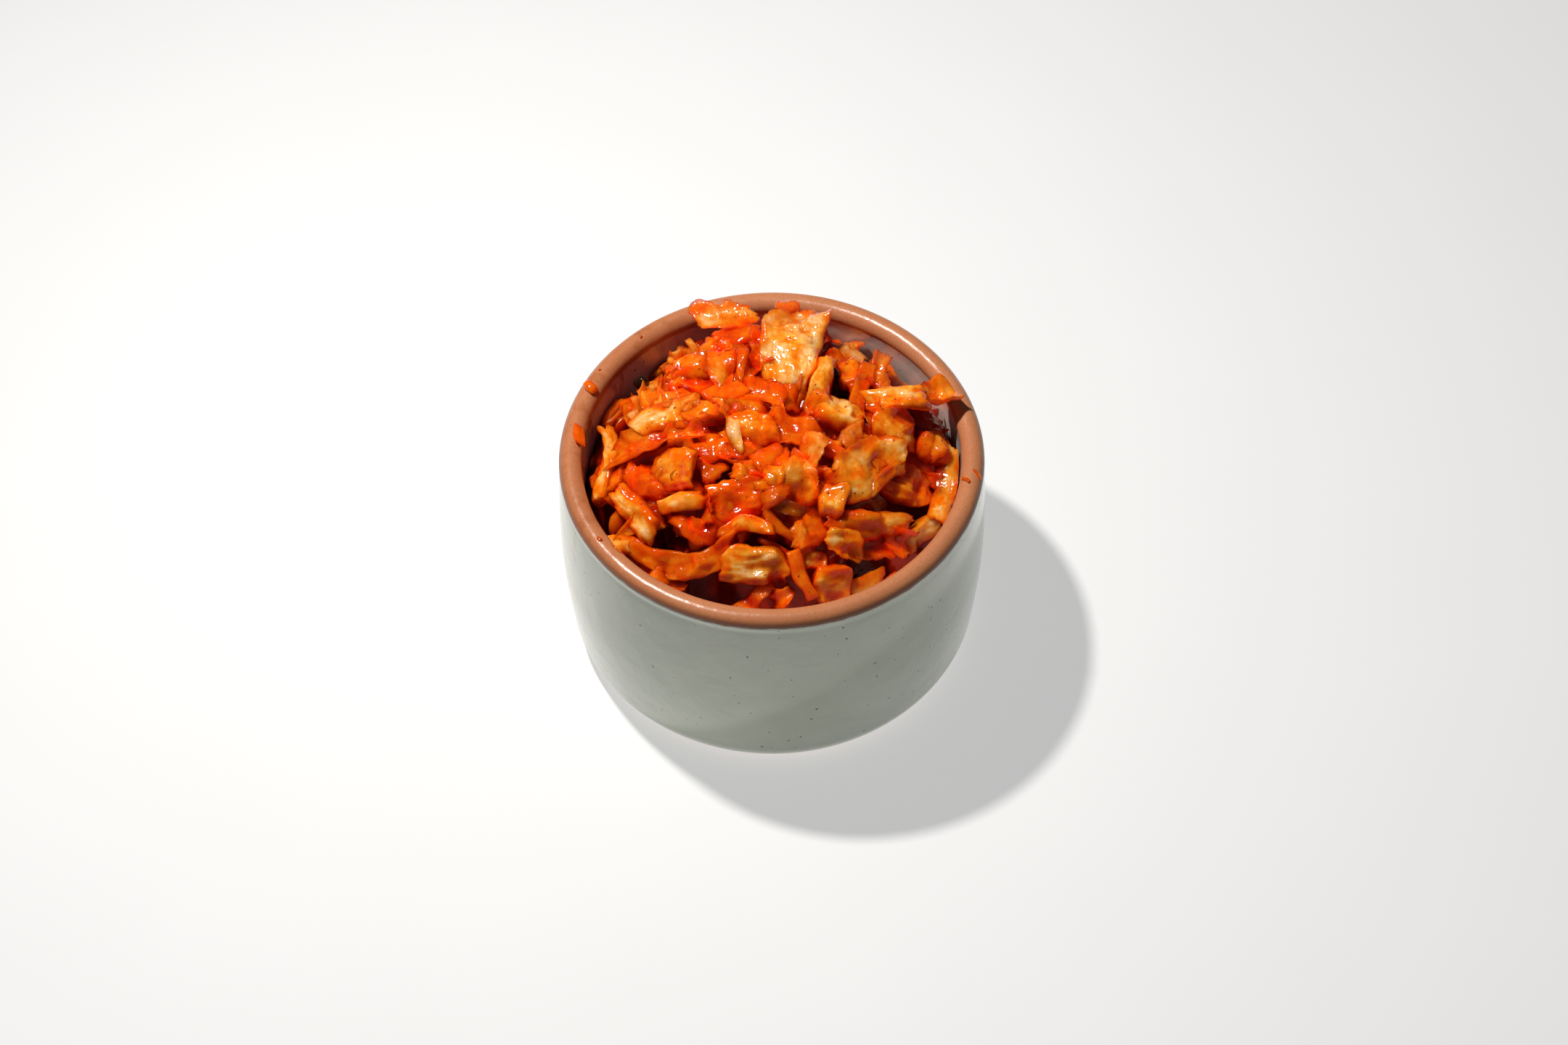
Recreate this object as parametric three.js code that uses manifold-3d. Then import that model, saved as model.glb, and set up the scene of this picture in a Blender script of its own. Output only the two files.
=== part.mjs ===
// A stoneware ramekin heaped with kimchi: chopped, fermented napa cabbage with carrot and chilli.
// Millimetres, +Z up, origin at the middle of the bowl's base. The lower part of the heap is one
// core, and the cut stems, leaves, shreds and carrot that show are fused on to it at their true size.
import * as THREE from "three";
import { mergeVertices } from "three/addons/utils/BufferGeometryUtils.js";
import Module from "manifold-3d";

const wasm = await Module();
wasm.setup();

// ---- driving dimensions -------------------------------------------------------------------------
const bowlHeight = 58;
const bellyRadius = 49.1; // the widest part of the wall
const bellyHeight = 27;
const wallTaperBelow = 1.8; // how far the wall draws in from the belly to the foot
const wallTaperAbove = 1.5; // and from the belly to the rim
const footCorner = 8; // radius of the round corner under the wall
const footRingInner = 36;
const footRecessRadius = 34;
const footRecessDepth = 1;
const beadRadius = 2.6; // the round rim
const beadMiddleRadius = 45.4;
const beadOverhang = 20; // degrees that the bead turns in past its widest point
const roomRadius = 42.6; // inside of the wall, at the floor
const roomCorner = 10;
const floorThickness = 5;
const neckDrop = 4.4; // from the crest of the rim to where the plain wall begins
const fitGap = 0.3; // clearance between the heap and the bowl

const heapCrest = 5; // middle of the heap above the rim
const heapEdgeDrop = 12.5; // where the heap meets the wall, below the rim
const heapEdgeLean = 3; // the heap is higher at the back and lower at the front
const pocketAngle = 42; // degrees: the heap falls away from the wall here
const pocketWidth = 18;
const pocketDrop = 5;
const heapRoundness = 2.8; // 2 would be a plain dome; more is flatter on top
const heapRoundnessLean = 0.7; // flatter still at the back
const coreDepth = 1.6; // the core lies this far under the heap's surface
const coreLump = 0.8;

const roundSides = 48; // facets round the bowl
const coreRings = 6;
const arcSteps = 4;
const sameCorner = 1e-4; // corners closer together than this are one

const radians = THREE.MathUtils.degToRad;

// ---- solids -------------------------------------------------------------------------------------
function solidOf(geometry) {
  geometry.deleteAttribute("normal");
  geometry.deleteAttribute("uv");
  const merged = mergeVertices(geometry, sameCorner);
  const corners = merged.index.array;
  const kept = [];
  for (let i = 0; i < corners.length; i += 3) {
    const [a, b, c] = corners.slice(i, i + 3);
    if (a !== b && b !== c && c !== a) kept.push(a, b, c);
  }
  return new wasm.Manifold(new wasm.Mesh({
    numProp: 3,
    vertProperties: new Float32Array(merged.attributes.position.array),
    triVerts: new Uint32Array(kept),
  }));
}

function geometryOf(solid) {
  const mesh = solid.getMesh();
  const geometry = new THREE.BufferGeometry();
  geometry.setAttribute("position", new THREE.BufferAttribute(mesh.vertProperties, 3));
  geometry.setIndex(new THREE.BufferAttribute(mesh.triVerts, 1));
  return geometry;
}

function turned(profile) {
  const geometry = new THREE.LatheGeometry(profile, roundSides);
  geometry.rotateX(Math.PI / 2);
  return geometry;
}

function arc(middle, radius, from, to, steps) {
  const points = [];
  for (let i = 0; i <= steps; i += 1) {
    const angle = radians(from + ((to - from) * i) / steps);
    points.push(new THREE.Vector2(
      middle.x + radius * Math.cos(angle),
      middle.y + radius * Math.sin(angle),
    ));
  }
  return points;
}

function randomFrom(seed) {
  let state = seed * 2654435761 + 1;
  return () => {
    state = (Math.imul(state ^ (state >>> 15), 2246822519) + 374761393) | 0;
    return ((state ^ (state >>> 13)) >>> 0) / 4294967296;
  };
}

// ---- the bowl -----------------------------------------------------------------------------------
function outerWallRadius(z) {
  if (z < bellyHeight) {
    return bellyRadius - wallTaperBelow * ((bellyHeight - z) / bellyHeight) ** 1.5;
  }
  return bellyRadius - wallTaperAbove * ((z - bellyHeight) / (bowlHeight - bellyHeight)) ** 2;
}

const beadMiddle = new THREE.Vector2(beadMiddleRadius, bowlHeight - beadRadius);
const neckHeight = bowlHeight - neckDrop;

// The inside of the bowl from the rim down to the middle of its floor, shrunk by a gap.
function roomProfile(gap) {
  const corner = new THREE.Vector2(roomRadius - roomCorner, floorThickness + roomCorner);
  return [
    ...arc(beadMiddle, beadRadius + gap, 90, 180 + beadOverhang, arcSteps),
    ...arc(corner, roomCorner - gap, 0, -90, arcSteps),
    new THREE.Vector2(0, floorThickness + gap),
  ];
}

function bowlProfile() {
  const corner = new THREE.Vector2(outerWallRadius(footCorner) - footCorner, footCorner);
  const wall = [];
  const wallSteps = 6;
  for (let i = 1; i <= wallSteps; i += 1) {
    const z = footCorner + ((neckHeight - footCorner) * i) / wallSteps;
    wall.push(new THREE.Vector2(outerWallRadius(z), z));
  }
  const beadStep = (90 + beadOverhang) / (arcSteps + 1); // the room's own arc starts at the crest
  return [
    new THREE.Vector2(0, footRecessDepth),
    new THREE.Vector2(footRecessRadius, footRecessDepth),
    new THREE.Vector2(footRingInner, 0),
    ...arc(corner, footCorner, -90, 0, arcSteps),
    ...wall,
    ...arc(beadMiddle, beadRadius, -beadOverhang, 90 - beadStep, arcSteps),
    ...roomProfile(0),
  ];
}

// ---- the heap's surface -------------------------------------------------------------------------
function heapTop(x, y) {
  const angle = Math.atan2(y, x);
  const back = Math.sin(angle);
  const offPocket = (THREE.MathUtils.radToDeg(angle) - pocketAngle) / pocketWidth;
  const edge = heapEdgeDrop - heapEdgeLean * back + pocketDrop * Math.exp(-(offPocket ** 2));
  const reach = (Math.hypot(x, y) / roomRadius) ** (heapRoundness + heapRoundnessLean * back);
  return bowlHeight + heapCrest - (heapCrest + edge) * reach;
}

function heapNormal(x, y) {
  const step = 1;
  const slopeX = (heapTop(x + step, y) - heapTop(x - step, y)) / (2 * step);
  const slopeY = (heapTop(x, y + step) - heapTop(x, y - step)) / (2 * step);
  return new THREE.Vector3(-slopeX, -slopeY, 1).normalize();
}

// The dark gaps that go down between the pieces: x, y, radius and depth
const gaps = [
  [-38, -9, 5, 7],
  [-24, -20, 4, 6],
  [-12, -7, 4.5, 7],
  [-16, -32, 7, 7],
  [-1, -27, 5, 6],
  [-12, -39, 5, 6],
  [20, -29, 6, 6],
  [32, -15, 5, 6],
  [20, -13, 4, 6],
  [38, 3, 4, 6],
  [31, 16, 4, 5],
  [16, 14, 3.5, 5],
  [-14, 15, 3.5, 5],
  [-35, 8, 4, 5],
  [-29, 26, 4, 5],
];

function gapSolid([x, y, radius, depth]) {
  const geometry = new THREE.IcosahedronGeometry(1, 0);
  geometry.scale(radius, radius, depth);
  geometry.translate(x, y, heapTop(x, y));
  return solidOf(geometry);
}

// Low uneven swells, from -1 to 1, about a dozen millimetres apart
function swell(x, y) {
  return Math.sin(0.55 * x + 1.3 * Math.sin(0.3 * y)) * Math.cos(0.5 * y);
}

function heapCore() {
  const overshoot = 3; // the bowl's room trims the core to the wall and the floor
  const wide = roomRadius + overshoot;
  const low = floorThickness - overshoot;
  const profile = [new THREE.Vector2(0, low), new THREE.Vector2(wide, low)];
  for (let i = coreRings; i >= 0; i -= 1) {
    profile.push(new THREE.Vector2((wide * i) / coreRings, bowlHeight));
  }
  const geometry = turned(profile);
  const position = geometry.attributes.position;
  for (let i = 0; i < position.count; i += 1) {
    if (position.getZ(i) < bowlHeight / 2) continue;
    const x = position.getX(i);
    const y = position.getY(i);
    position.setZ(i, heapTop(x, y) - coreDepth + coreLump * swell(x, y));
  }
  return gaps.reduce((core, gap) => core.subtract(gapSolid(gap)), solidOf(geometry));
}

// ---- the kinds of piece, each lying along X with its middle at the origin -----------------------
// A cut sheet of one thickness: rag is how uneven its edge is, and blunt bends the outline from a
// rectangle, at 0, to an oval, at 1. A bevelled sheet has rounded edges.
function sheet(piece, { rag, blunt, bevel }) {
  const sides = 8;
  const random = randomFrom(piece.seed);
  const outline = [];
  for (let i = 0; i < sides; i += 1) {
    const angle = ((i + 0.5) / sides) * 2 * Math.PI;
    const grow = 1 + rag * (random() - 0.5);
    const round = (c) => Math.sign(c) * Math.abs(c) ** blunt;
    outline.push(new THREE.Vector2(
      0.5 * piece.length * grow * round(Math.cos(angle)),
      0.5 * piece.width * grow * round(Math.sin(angle)),
    ));
  }
  const edge = bevel ? Math.min(0.3 * piece.thick, 1.2) : 0;
  const geometry = new THREE.ExtrudeGeometry(new THREE.Shape(outline), {
    depth: piece.thick - 2 * edge,
    bevelEnabled: bevel,
    bevelThickness: edge,
    bevelSize: edge,
    bevelOffset: -edge,
    bevelSegments: 1,
  });
  geometry.translate(0, 0, edge - piece.thick / 2);
  return geometry;
}

function leaf(piece) {
  return sheet(piece, { rag: 0.3, blunt: 0.7, bevel: false });
}

function slab(piece) {
  return sheet(piece, { rag: 0.1, blunt: 0.55, bevel: true });
}

function stick(piece) {
  return new THREE.BoxGeometry(piece.length, piece.width, piece.thick, 4, 1, 1);
}

function rod(piece) {
  const radius = piece.width / 2;
  const geometry = new THREE.CapsuleGeometry(radius, piece.length - piece.width, 2, 6, 2);
  geometry.rotateZ(Math.PI / 2);
  geometry.scale(1, 1, piece.thick / piece.width);
  return geometry;
}

function lump(piece) {
  const smallest = 0.92;
  const uneven = 0.22;
  const random = randomFrom(piece.seed);
  const ball = new THREE.IcosahedronGeometry(0.5, 1);
  const geometry = mergeVertices(ball.deleteAttribute("normal").deleteAttribute("uv"), sameCorner);
  const position = geometry.attributes.position;
  for (let i = 0; i < position.count; i += 1) {
    const grow = smallest + uneven * random();
    position.setXYZ(
      i,
      position.getX(i) * grow * piece.length,
      position.getY(i) * grow * piece.width,
      position.getZ(i) * grow * piece.thick,
    );
  }
  return geometry;
}

const kinds = { leaf, slab, stick, rod, lump };

// ---- the pieces that show -----------------------------------------------------------------------
// kind, x and y of the middle, lift above the heap's surface, heading (0 is +X), pitch and roll
// against that surface, length, width, thickness, arch along the length, bow sideways, taper
const showing = [
  // back: the tall stem and what leans on it
  ["slab", 4, 21.5, 3, 84, 25, 0, 27, 13, 3.2, 1.5, 0, 0.5],
  ["leaf", 3, 36, 10.6, 20, 0, 30, 7, 5, 1.2, 0, 0, 0],
  ["leaf", -2, 24.5, 5, 73, 22, 8, 12, 6.5, 1.6, 0.5, 0, 0],
  ["rod", 11, 12.5, 2.5, 76, 10, 0, 21, 4.6, 4, 1, 0, 0],
  ["leaf", 15, 23, 3, 17, 0, 10, 8.5, 6.5, 1.4, 0.8, 0, 0],
  ["leaf", -10.4, 34, 7.6, 12, 0, 35, 15.5, 6.5, 1.5, 1, 0, 0],
  ["leaf", -9, 29, 4, -10, 0, 25, 11, 6.5, 1.6, 1, 0, 0],
  ["stick", -18, 26.6, 3.2, 131, 63, 0, 7, 2.4, 1.3, 0.4, 0, 0],
  ["rod", -15, 28, 2.3, 27, 0, 0, 10, 3.6, 3, 0, 0, 0],
  ["lump", -21.5, 30, 0, -20, 0, 0, 6, 4, 3.4, 0, 0, 0],
  ["lump", -18.5, 21, 1, -15, 0, 0, 10, 8.5, 5.5, 0, 0, 0],
  ["leaf", -12, 27, 2.4, 16, 0, 15, 9, 7, 1.6, 0.8, 0, 0],
  ["leaf", -12, 18.5, 2, 73, 0, 8, 11, 6.5, 1.6, 0.8, 0, 0],
  ["stick", -10, 11.5, 0.9, 39, 0, 0, 9.5, 8, 2.8, 0, 0, 0],
  ["stick", -7, 20.7, 2.6, 96, 6, 0, 15, 2.6, 1.4, 1, 0.8, 0],
  ["leaf", -4.4, 18, 1.5, 77, 0, 0, 10, 5.5, 1.3, 0.5, 0, 0],
  // back right: the chunks beside the pocket
  ["lump", 19.5, 19.5, 0.8, 28, 0, 0, 11.5, 9, 6, 0, 0, 0],
  ["stick", 20.5, 14, 2.4, 76, 14, 0, 18, 4, 1.6, 0.8, 0, 0.2],
  ["leaf", 24, 21.5, 3, 77, 35, 0, 9, 4, 1.3, 0, 0, 0],
  ["leaf", 28, 23, -0.4, 30, 0, 0, 10, 5.5, 1.6, 0.5, 0, 0],
  ["leaf", 15, 18.5, -1.2, -2, 0, 0, 7, 4.5, 1.4, 0, 0, 0],
  // right: the long piece that reaches over the rim and the slab under it
  ["rod", 26.3, 9.2, 4.6, 3, 34, 0, 14, 6, 4.6, 0.5, 0, 0],
  ["leaf", 36.8, 11, 11.4, 17, 36, -8, 13, 7.5, 3, 1.2, 0, 0],
  ["slab", 27, 3.6, 2.6, -20, 0, 24, 12.5, 9, 2.2, 0.5, 0, 0],
  ["lump", 35.3, 3.8, 1.2, 0, 0, 0, 10, 9, 6, 0, 0, 0],
  ["rod", 39, 8, -0.6, -80, 0, 0, 7, 2.6, 2.6, 0, 0, 0],
  ["lump", 28.8, -9, -0.6, -5, 0, 0, 16, 12, 7.5, 0, 0, 0],
  ["stick", 25.7, -10, 4, 40, 6, 14, 12, 3.5, 2.2, 0.3, 0, 0],
  ["stick", 39.3, -7, 3.6, -101, 0, 76, 23, 6.4, 1.8, -1.4, 0, 0.3],
  ["rod", 32.7, -19, 1.6, 37, 0, 0, 12, 5.5, 4.2, 0.5, 0, 0],
  // middle
  ["slab", 23, -7.6, 3, 35, 6, 6, 26, 10, 2.6, 1.2, 0, -0.4],
  ["rod", 10, -4.3, 0.2, -4, 0, 0, 9.5, 4.4, 3.6, 0, 0, 0],
  ["leaf", 5, 1, 0.9, -3, 0, 12, 14, 8, 1.6, 1, 0, 0],
  ["lump", 15, 5, 0.9, -8, 0, 0, 9.5, 8, 5.5, 0, 0, 0],
  ["rod", 13, -4, 2.2, -42, 6, 0, 9, 2.4, 2.2, 0.6, 0.5, 0],
  ["leaf", 5, -12, 1.4, 0, 0, 10, 16, 10, 1.8, 1.2, 0, 0],
  ["lump", 13, -16.6, 2, 88, 0, 0, 9, 6.6, 4.5, 0, 0, 0],
  ["leaf", -6, 6, 0.8, 4, -4, 12, 13, 8, 1.6, 1, 0, 0],
  ["slab", -4, -1, 1.4, 2, 5, 8, 12, 9, 3.8, 0.5, 0, 0],
  ["rod", -8, -1.5, 2.6, -75, 0, 0, 8, 2.6, 2.4, 0.5, 1, 0],
  ["leaf", -8, -4.5, 0.8, 3, 0, 0, 14, 6, 1.6, 0.8, 0, 0],
  ["lump", -3, -11, 0.9, 0, 0, 0, 11, 8, 5.5, 0, 0, 0],
  ["leaf", -14, -8, -0.5, -27, 0, 0, 9, 6, 1.4, 0.8, 0, 0],
  ["slab", -8, -17, 1.2, 0, -4, 10, 13, 11, 4, 0.6, 0, 0],
  ["rod", -6, -23, 1.8, 6, 0, 0, 12, 3.6, 3.4, 0, -1.5, 0],
  ["leaf", 3, -18.3, 1.8, -21, 0, 0, 13, 5.5, 1.4, 1.4, 0, 0],
  ["leaf", -16, -19.5, 0, -60, 0, 10, 10, 9, 1.4, 2, 0, 0],
  // left
  ["lump", -15, 6, 0.9, 8, 0, 0, 11, 7.5, 5.5, 0, 0, 0],
  ["slab", -23.7, 6, 1.4, 8, -4, 8, 16, 8, 2.8, 1, 0, 0],
  ["leaf", -24.7, 0.5, 1.4, -2, 3, 0, 21, 8, 2, 1, 0, -0.4],
  ["slab", -21.8, -8.6, 2, 5, 6, 8, 12, 9, 2.4, 0.4, 0, 0],
  ["leaf", -27, -9, 0.2, 6, 0, 12, 12, 10, 1.6, 1, 0, 0],
  ["rod", -20.8, -16, 1.8, 1, 4, 0, 9.5, 4, 3.8, 0, 0, 0],
  ["rod", -30, -15.6, 2, -58, 0, 0, 17, 6.6, 5.6, 0.8, 0, 0],
  ["rod", -37.5, 1, 1.3, -98, 0, 0, 20, 5, 3.6, 0.6, -2.5, 0],
  ["lump", -36.3, -3.8, 0.8, 3, 0, 0, 10, 6, 4.5, 0, 0, 0],
  ["leaf", -39.5, 0, 1.2, 30, 0, 0, 7, 5, 1.3, 0, 0, 0],
  ["rod", -26.5, 16.4, 1.7, 104, 10, 0, 14, 6.6, 4, 0.5, 0, 0],
  ["leaf", -32.6, 15.3, 1.2, 103, 14, -8, 12, 8, 1.8, 1, 0, 0],
  ["lump", -30.2, 20.4, 2.4, 7, 0, 0, 3.2, 3, 3, 0, 0, 0],
  ["leaf", -22.7, 17, 0.2, 9, 0, 0, 10, 6, 1.5, 0.6, 0, 0],
  ["leaf", -18, 14.8, -0.6, 9, 0, 0, 10, 6, 1.6, 0.5, 0, 0],
  // front
  ["rod", -32.8, -20.5, 1.6, -17, 0, 0, 12, 5.6, 4.2, 0, 0, 0],
  ["stick", -20, -26, 1.4, 2, 0, 14, 25, 6, 1.8, 1, 5, -0.3],
  ["leaf", -25, -28.5, 0, 3, 0, 0, 12, 6, 1.5, 0.5, 0, 0],
  ["slab", -4, -30.4, 1.8, -2, 0, 8, 14, 9.5, 4.2, 0.4, 0, 0],
  ["leaf", -5, -37.5, -0.4, 0, 0, 14, 8, 4, 1.8, 0, 0, 0],
  ["stick", 3, -23.2, 1.4, -41, 0, 24, 11, 2.4, 1.4, 0.6, 1, 0],
  ["stick", 2, -26.7, 0.2, -21, 0, 24, 10, 2.4, 1.4, 0.6, 0.8, 0],
  ["leaf", 8, -26.2, 1.4, 60, 0, 20, 9, 4.5, 1.4, 0.6, 0, 0],
  ["stick", 6.5, -32.4, 2.5, -68, 0, 0, 12, 3.4, 2.2, 0, 0, 0],
  ["rod", 9, -28.4, 0.9, -1, 0, 0, 7, 4, 3.4, 0, 0, 0],
  ["slab", 14, -32.6, 1.4, -2, 0, 0, 10, 9, 4, 0, 0, 0],
  ["leaf", 2, -35.5, 0, 35, 14, 0, 7, 4.4, 1.8, 0, 0, 0],
  ["leaf", 20, -31.8, 0.9, 18, 0, 0, 8, 4, 1.5, 0.5, 0, 0],
  ["leaf", 21, -19.4, 2, -3, 0, 10, 16, 8.5, 2, 0.8, 0, -0.4],
  ["lump", 16, -25, 2, -3, 0, 0, 11, 7.4, 5.6, 0, 0, 0],
  ["leaf", 23, -24, 0.4, -3, 0, 0, 8, 5, 1.5, 0, 0, 0],
  ["lump", 26, -29, 0, 40, 0, 0, 6, 4, 3.5, 0, 0, 0],
  ["leaf", 27, -22.5, 0.5, -3, 0, 0, 9, 7, 1.6, 0.5, 0, 0],
];

function bend(geometry, piece) {
  const position = geometry.attributes.position;
  for (let i = 0; i < position.count; i += 1) {
    const along = (2 * position.getX(i)) / piece.length;
    const widen = 1 + 0.5 * piece.taper * along;
    position.setY(i, position.getY(i) * widen + piece.bow * (along * along - 0.5));
    position.setZ(i, position.getZ(i) - piece.arch * (along * along - 0.5));
  }
}

function lay(row, index) {
  const [kind, x, y, lift, heading, pitch, roll, ...size] = row;
  const [length, width, thick, arch, bow, taper] = size;
  const piece = { length, width, thick, arch, bow, taper, seed: index + 1 };
  const geometry = kinds[kind](piece);
  bend(geometry, piece);
  geometry.rotateX(radians(roll));
  geometry.rotateY(-radians(pitch));
  const up = heapNormal(x, y);
  const ahead = new THREE.Vector3(Math.cos(radians(heading)), Math.sin(radians(heading)), 0);
  ahead.addScaledVector(up, -ahead.dot(up)).normalize();
  const aside = new THREE.Vector3().crossVectors(up, ahead);
  const place = new THREE.Matrix4().makeBasis(ahead, aside, up);
  place.setPosition(x, y, heapTop(x, y) + lift);
  geometry.applyMatrix4(place);
  return solidOf(geometry);
}

// Smaller scraps fill the hollows between the named pieces, in a spiral that spreads them evenly.
const scrapCount = 13;
const scrapReach = 38.5;
const leafShare = 0.6;

function scraps() {
  const goldenAngle = 137.508;
  const start = 20;
  const random = randomFrom(77);
  const between = (low, high) => low + (high - low) * random();
  const rows = [];
  for (let i = 0; i < scrapCount; i += 1) {
    const reach = scrapReach * Math.sqrt((i + 0.5) / scrapCount);
    const angle = radians(goldenAngle * i + start);
    const kind = random() < leafShare ? "leaf" : "rod";
    const lift = between(-1.6, -0.4);
    const heading = between(0, 360);
    const pitch = between(-6, 6);
    const roll = between(-10, 10);
    const length = between(7, 11);
    const width = between(3, 5);
    const thick = between(1.8, 2.8);
    const arch = between(0, 0.8);
    rows.push([
      kind, reach * Math.cos(angle), reach * Math.sin(angle), lift, heading, pitch, roll,
      length, width, thick, arch, 0, 0,
    ]);
  }
  return rows;
}

function heap() {
  const top = bowlHeight + 40; // over everything
  const wide = bellyRadius + 15;
  const room = solidOf(turned([
    ...roomProfile(fitGap).reverse(),
    new THREE.Vector2(wide, bowlHeight + fitGap),
    new THREE.Vector2(wide, top),
    new THREE.Vector2(0, top),
  ]));
  let whole = heapCore();
  [...showing, ...scraps()].forEach((row, index) => {
    whole = whole.add(lay(row, index));
  });
  const bodies = whole.intersect(room).decompose();
  bodies.sort((a, b) => b.volume() - a.volume());
  return bodies[0];
}

// ---- the part -----------------------------------------------------------------------------------
const glaze = new THREE.MeshStandardMaterial({ color: 0xa9b0a2, roughness: 0.3, metalness: 0 });
const cabbage = new THREE.MeshStandardMaterial({ color: 0xd9691c, roughness: 0.25, metalness: 0 });

const bowlMesh = new THREE.Mesh(geometryOf(solidOf(turned(bowlProfile()))), glaze);
bowlMesh.name = "bowl";

const heapMesh = new THREE.Mesh(geometryOf(heap()), cabbage);
heapMesh.name = "kimchi";

const part = new THREE.Group();
part.add(bowlMesh, heapMesh);

export default part;
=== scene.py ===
"""A stoneware bowl heaped with kimchi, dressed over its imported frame.

Lengths are millimetres until a mesh is made, and its points then become metres.
"""

import math

import bpy
import numpy as np
from mathutils import Matrix, Vector
from mathutils.bvhtree import BVHTree


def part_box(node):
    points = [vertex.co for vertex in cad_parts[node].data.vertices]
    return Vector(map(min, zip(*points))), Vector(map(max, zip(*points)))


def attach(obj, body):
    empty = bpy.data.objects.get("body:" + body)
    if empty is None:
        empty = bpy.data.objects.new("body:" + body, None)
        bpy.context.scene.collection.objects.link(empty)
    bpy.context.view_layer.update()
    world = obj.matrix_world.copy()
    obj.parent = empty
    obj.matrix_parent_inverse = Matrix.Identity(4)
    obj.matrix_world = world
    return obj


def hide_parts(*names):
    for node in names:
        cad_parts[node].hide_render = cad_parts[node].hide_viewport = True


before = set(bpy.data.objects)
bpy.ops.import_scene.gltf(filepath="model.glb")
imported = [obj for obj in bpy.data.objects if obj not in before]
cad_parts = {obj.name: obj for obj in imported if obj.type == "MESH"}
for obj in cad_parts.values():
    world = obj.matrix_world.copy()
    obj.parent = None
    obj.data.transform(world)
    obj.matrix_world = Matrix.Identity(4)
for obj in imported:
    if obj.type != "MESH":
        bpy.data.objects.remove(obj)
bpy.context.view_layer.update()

METRE = 0.001  # one millimetre in metres

# ---- the bowl's sizes, as the frame has them ----------------------------------------------------
BOWL_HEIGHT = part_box("bowl")[1].z / METRE
BELLY_RADIUS = 49.1
BELLY_HEIGHT = 27
TAPER_BELOW = 1.8
TAPER_ABOVE = 1.5
FOOT_CORNER = 8
FOOT_RING_INNER = 36
FOOT_RECESS_RADIUS = 34
FOOT_RECESS_DEPTH = 1
BEAD_RADIUS = 2.6
BEAD_MIDDLE = 45.4
BEAD_HEIGHT = BOWL_HEIGHT - BEAD_RADIUS
BEAD_OVERHANG = 20
ROOM_RADIUS = 42.6
ROOM_CORNER = 10
FLOOR = 5
NECK_HEIGHT = BOWL_HEIGHT - 4.4
FIT_GAP = 0.3
BARE_CLAY_OUTSIDE = 2.2  # how far the bare clay of the rim reaches below its crest
BARE_CLAY_INSIDE = 3.5

# ---- the heap's surface -------------------------------------------------------------------------
HEAP_CREST = 5
HEAP_EDGE_DROP = 12.5
HEAP_EDGE_LEAN = 3
POCKET_ANGLE = 42
POCKET_WIDTH = 18
POCKET_DROP = 5
HEAP_ROUNDNESS = 2.8
HEAP_ROUNDNESS_LEAN = 0.7
CORE_DEPTH = 1.5

# The gaps between the pieces, which painted shade darkens further: x, y, radius and depth, a little
# wider and deeper than the frame's
GAPS = [
    (-38, -9, 5.8, 8.5),
    (-24, -20, 4.8, 7.5),
    (-12, -7, 5.3, 8.5),
    (-16, -32, 7.8, 8.5),
    (-1, -27, 5.8, 7.5),
    (-12, -39, 5.8, 7.5),
    (20, -29, 6.8, 7.5),
    (32, -15, 5.8, 7.5),
    (20, -13, 4.8, 7.5),
    (38, 3, 4.8, 7.5),
    (31, 16, 4.8, 6.5),
    (16, 14, 4.3, 6.5),
    (-14, 15, 4.3, 6.5),
    (-35, 8, 4.8, 6.5),
    (-29, 26, 4.8, 6.5),
]

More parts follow.
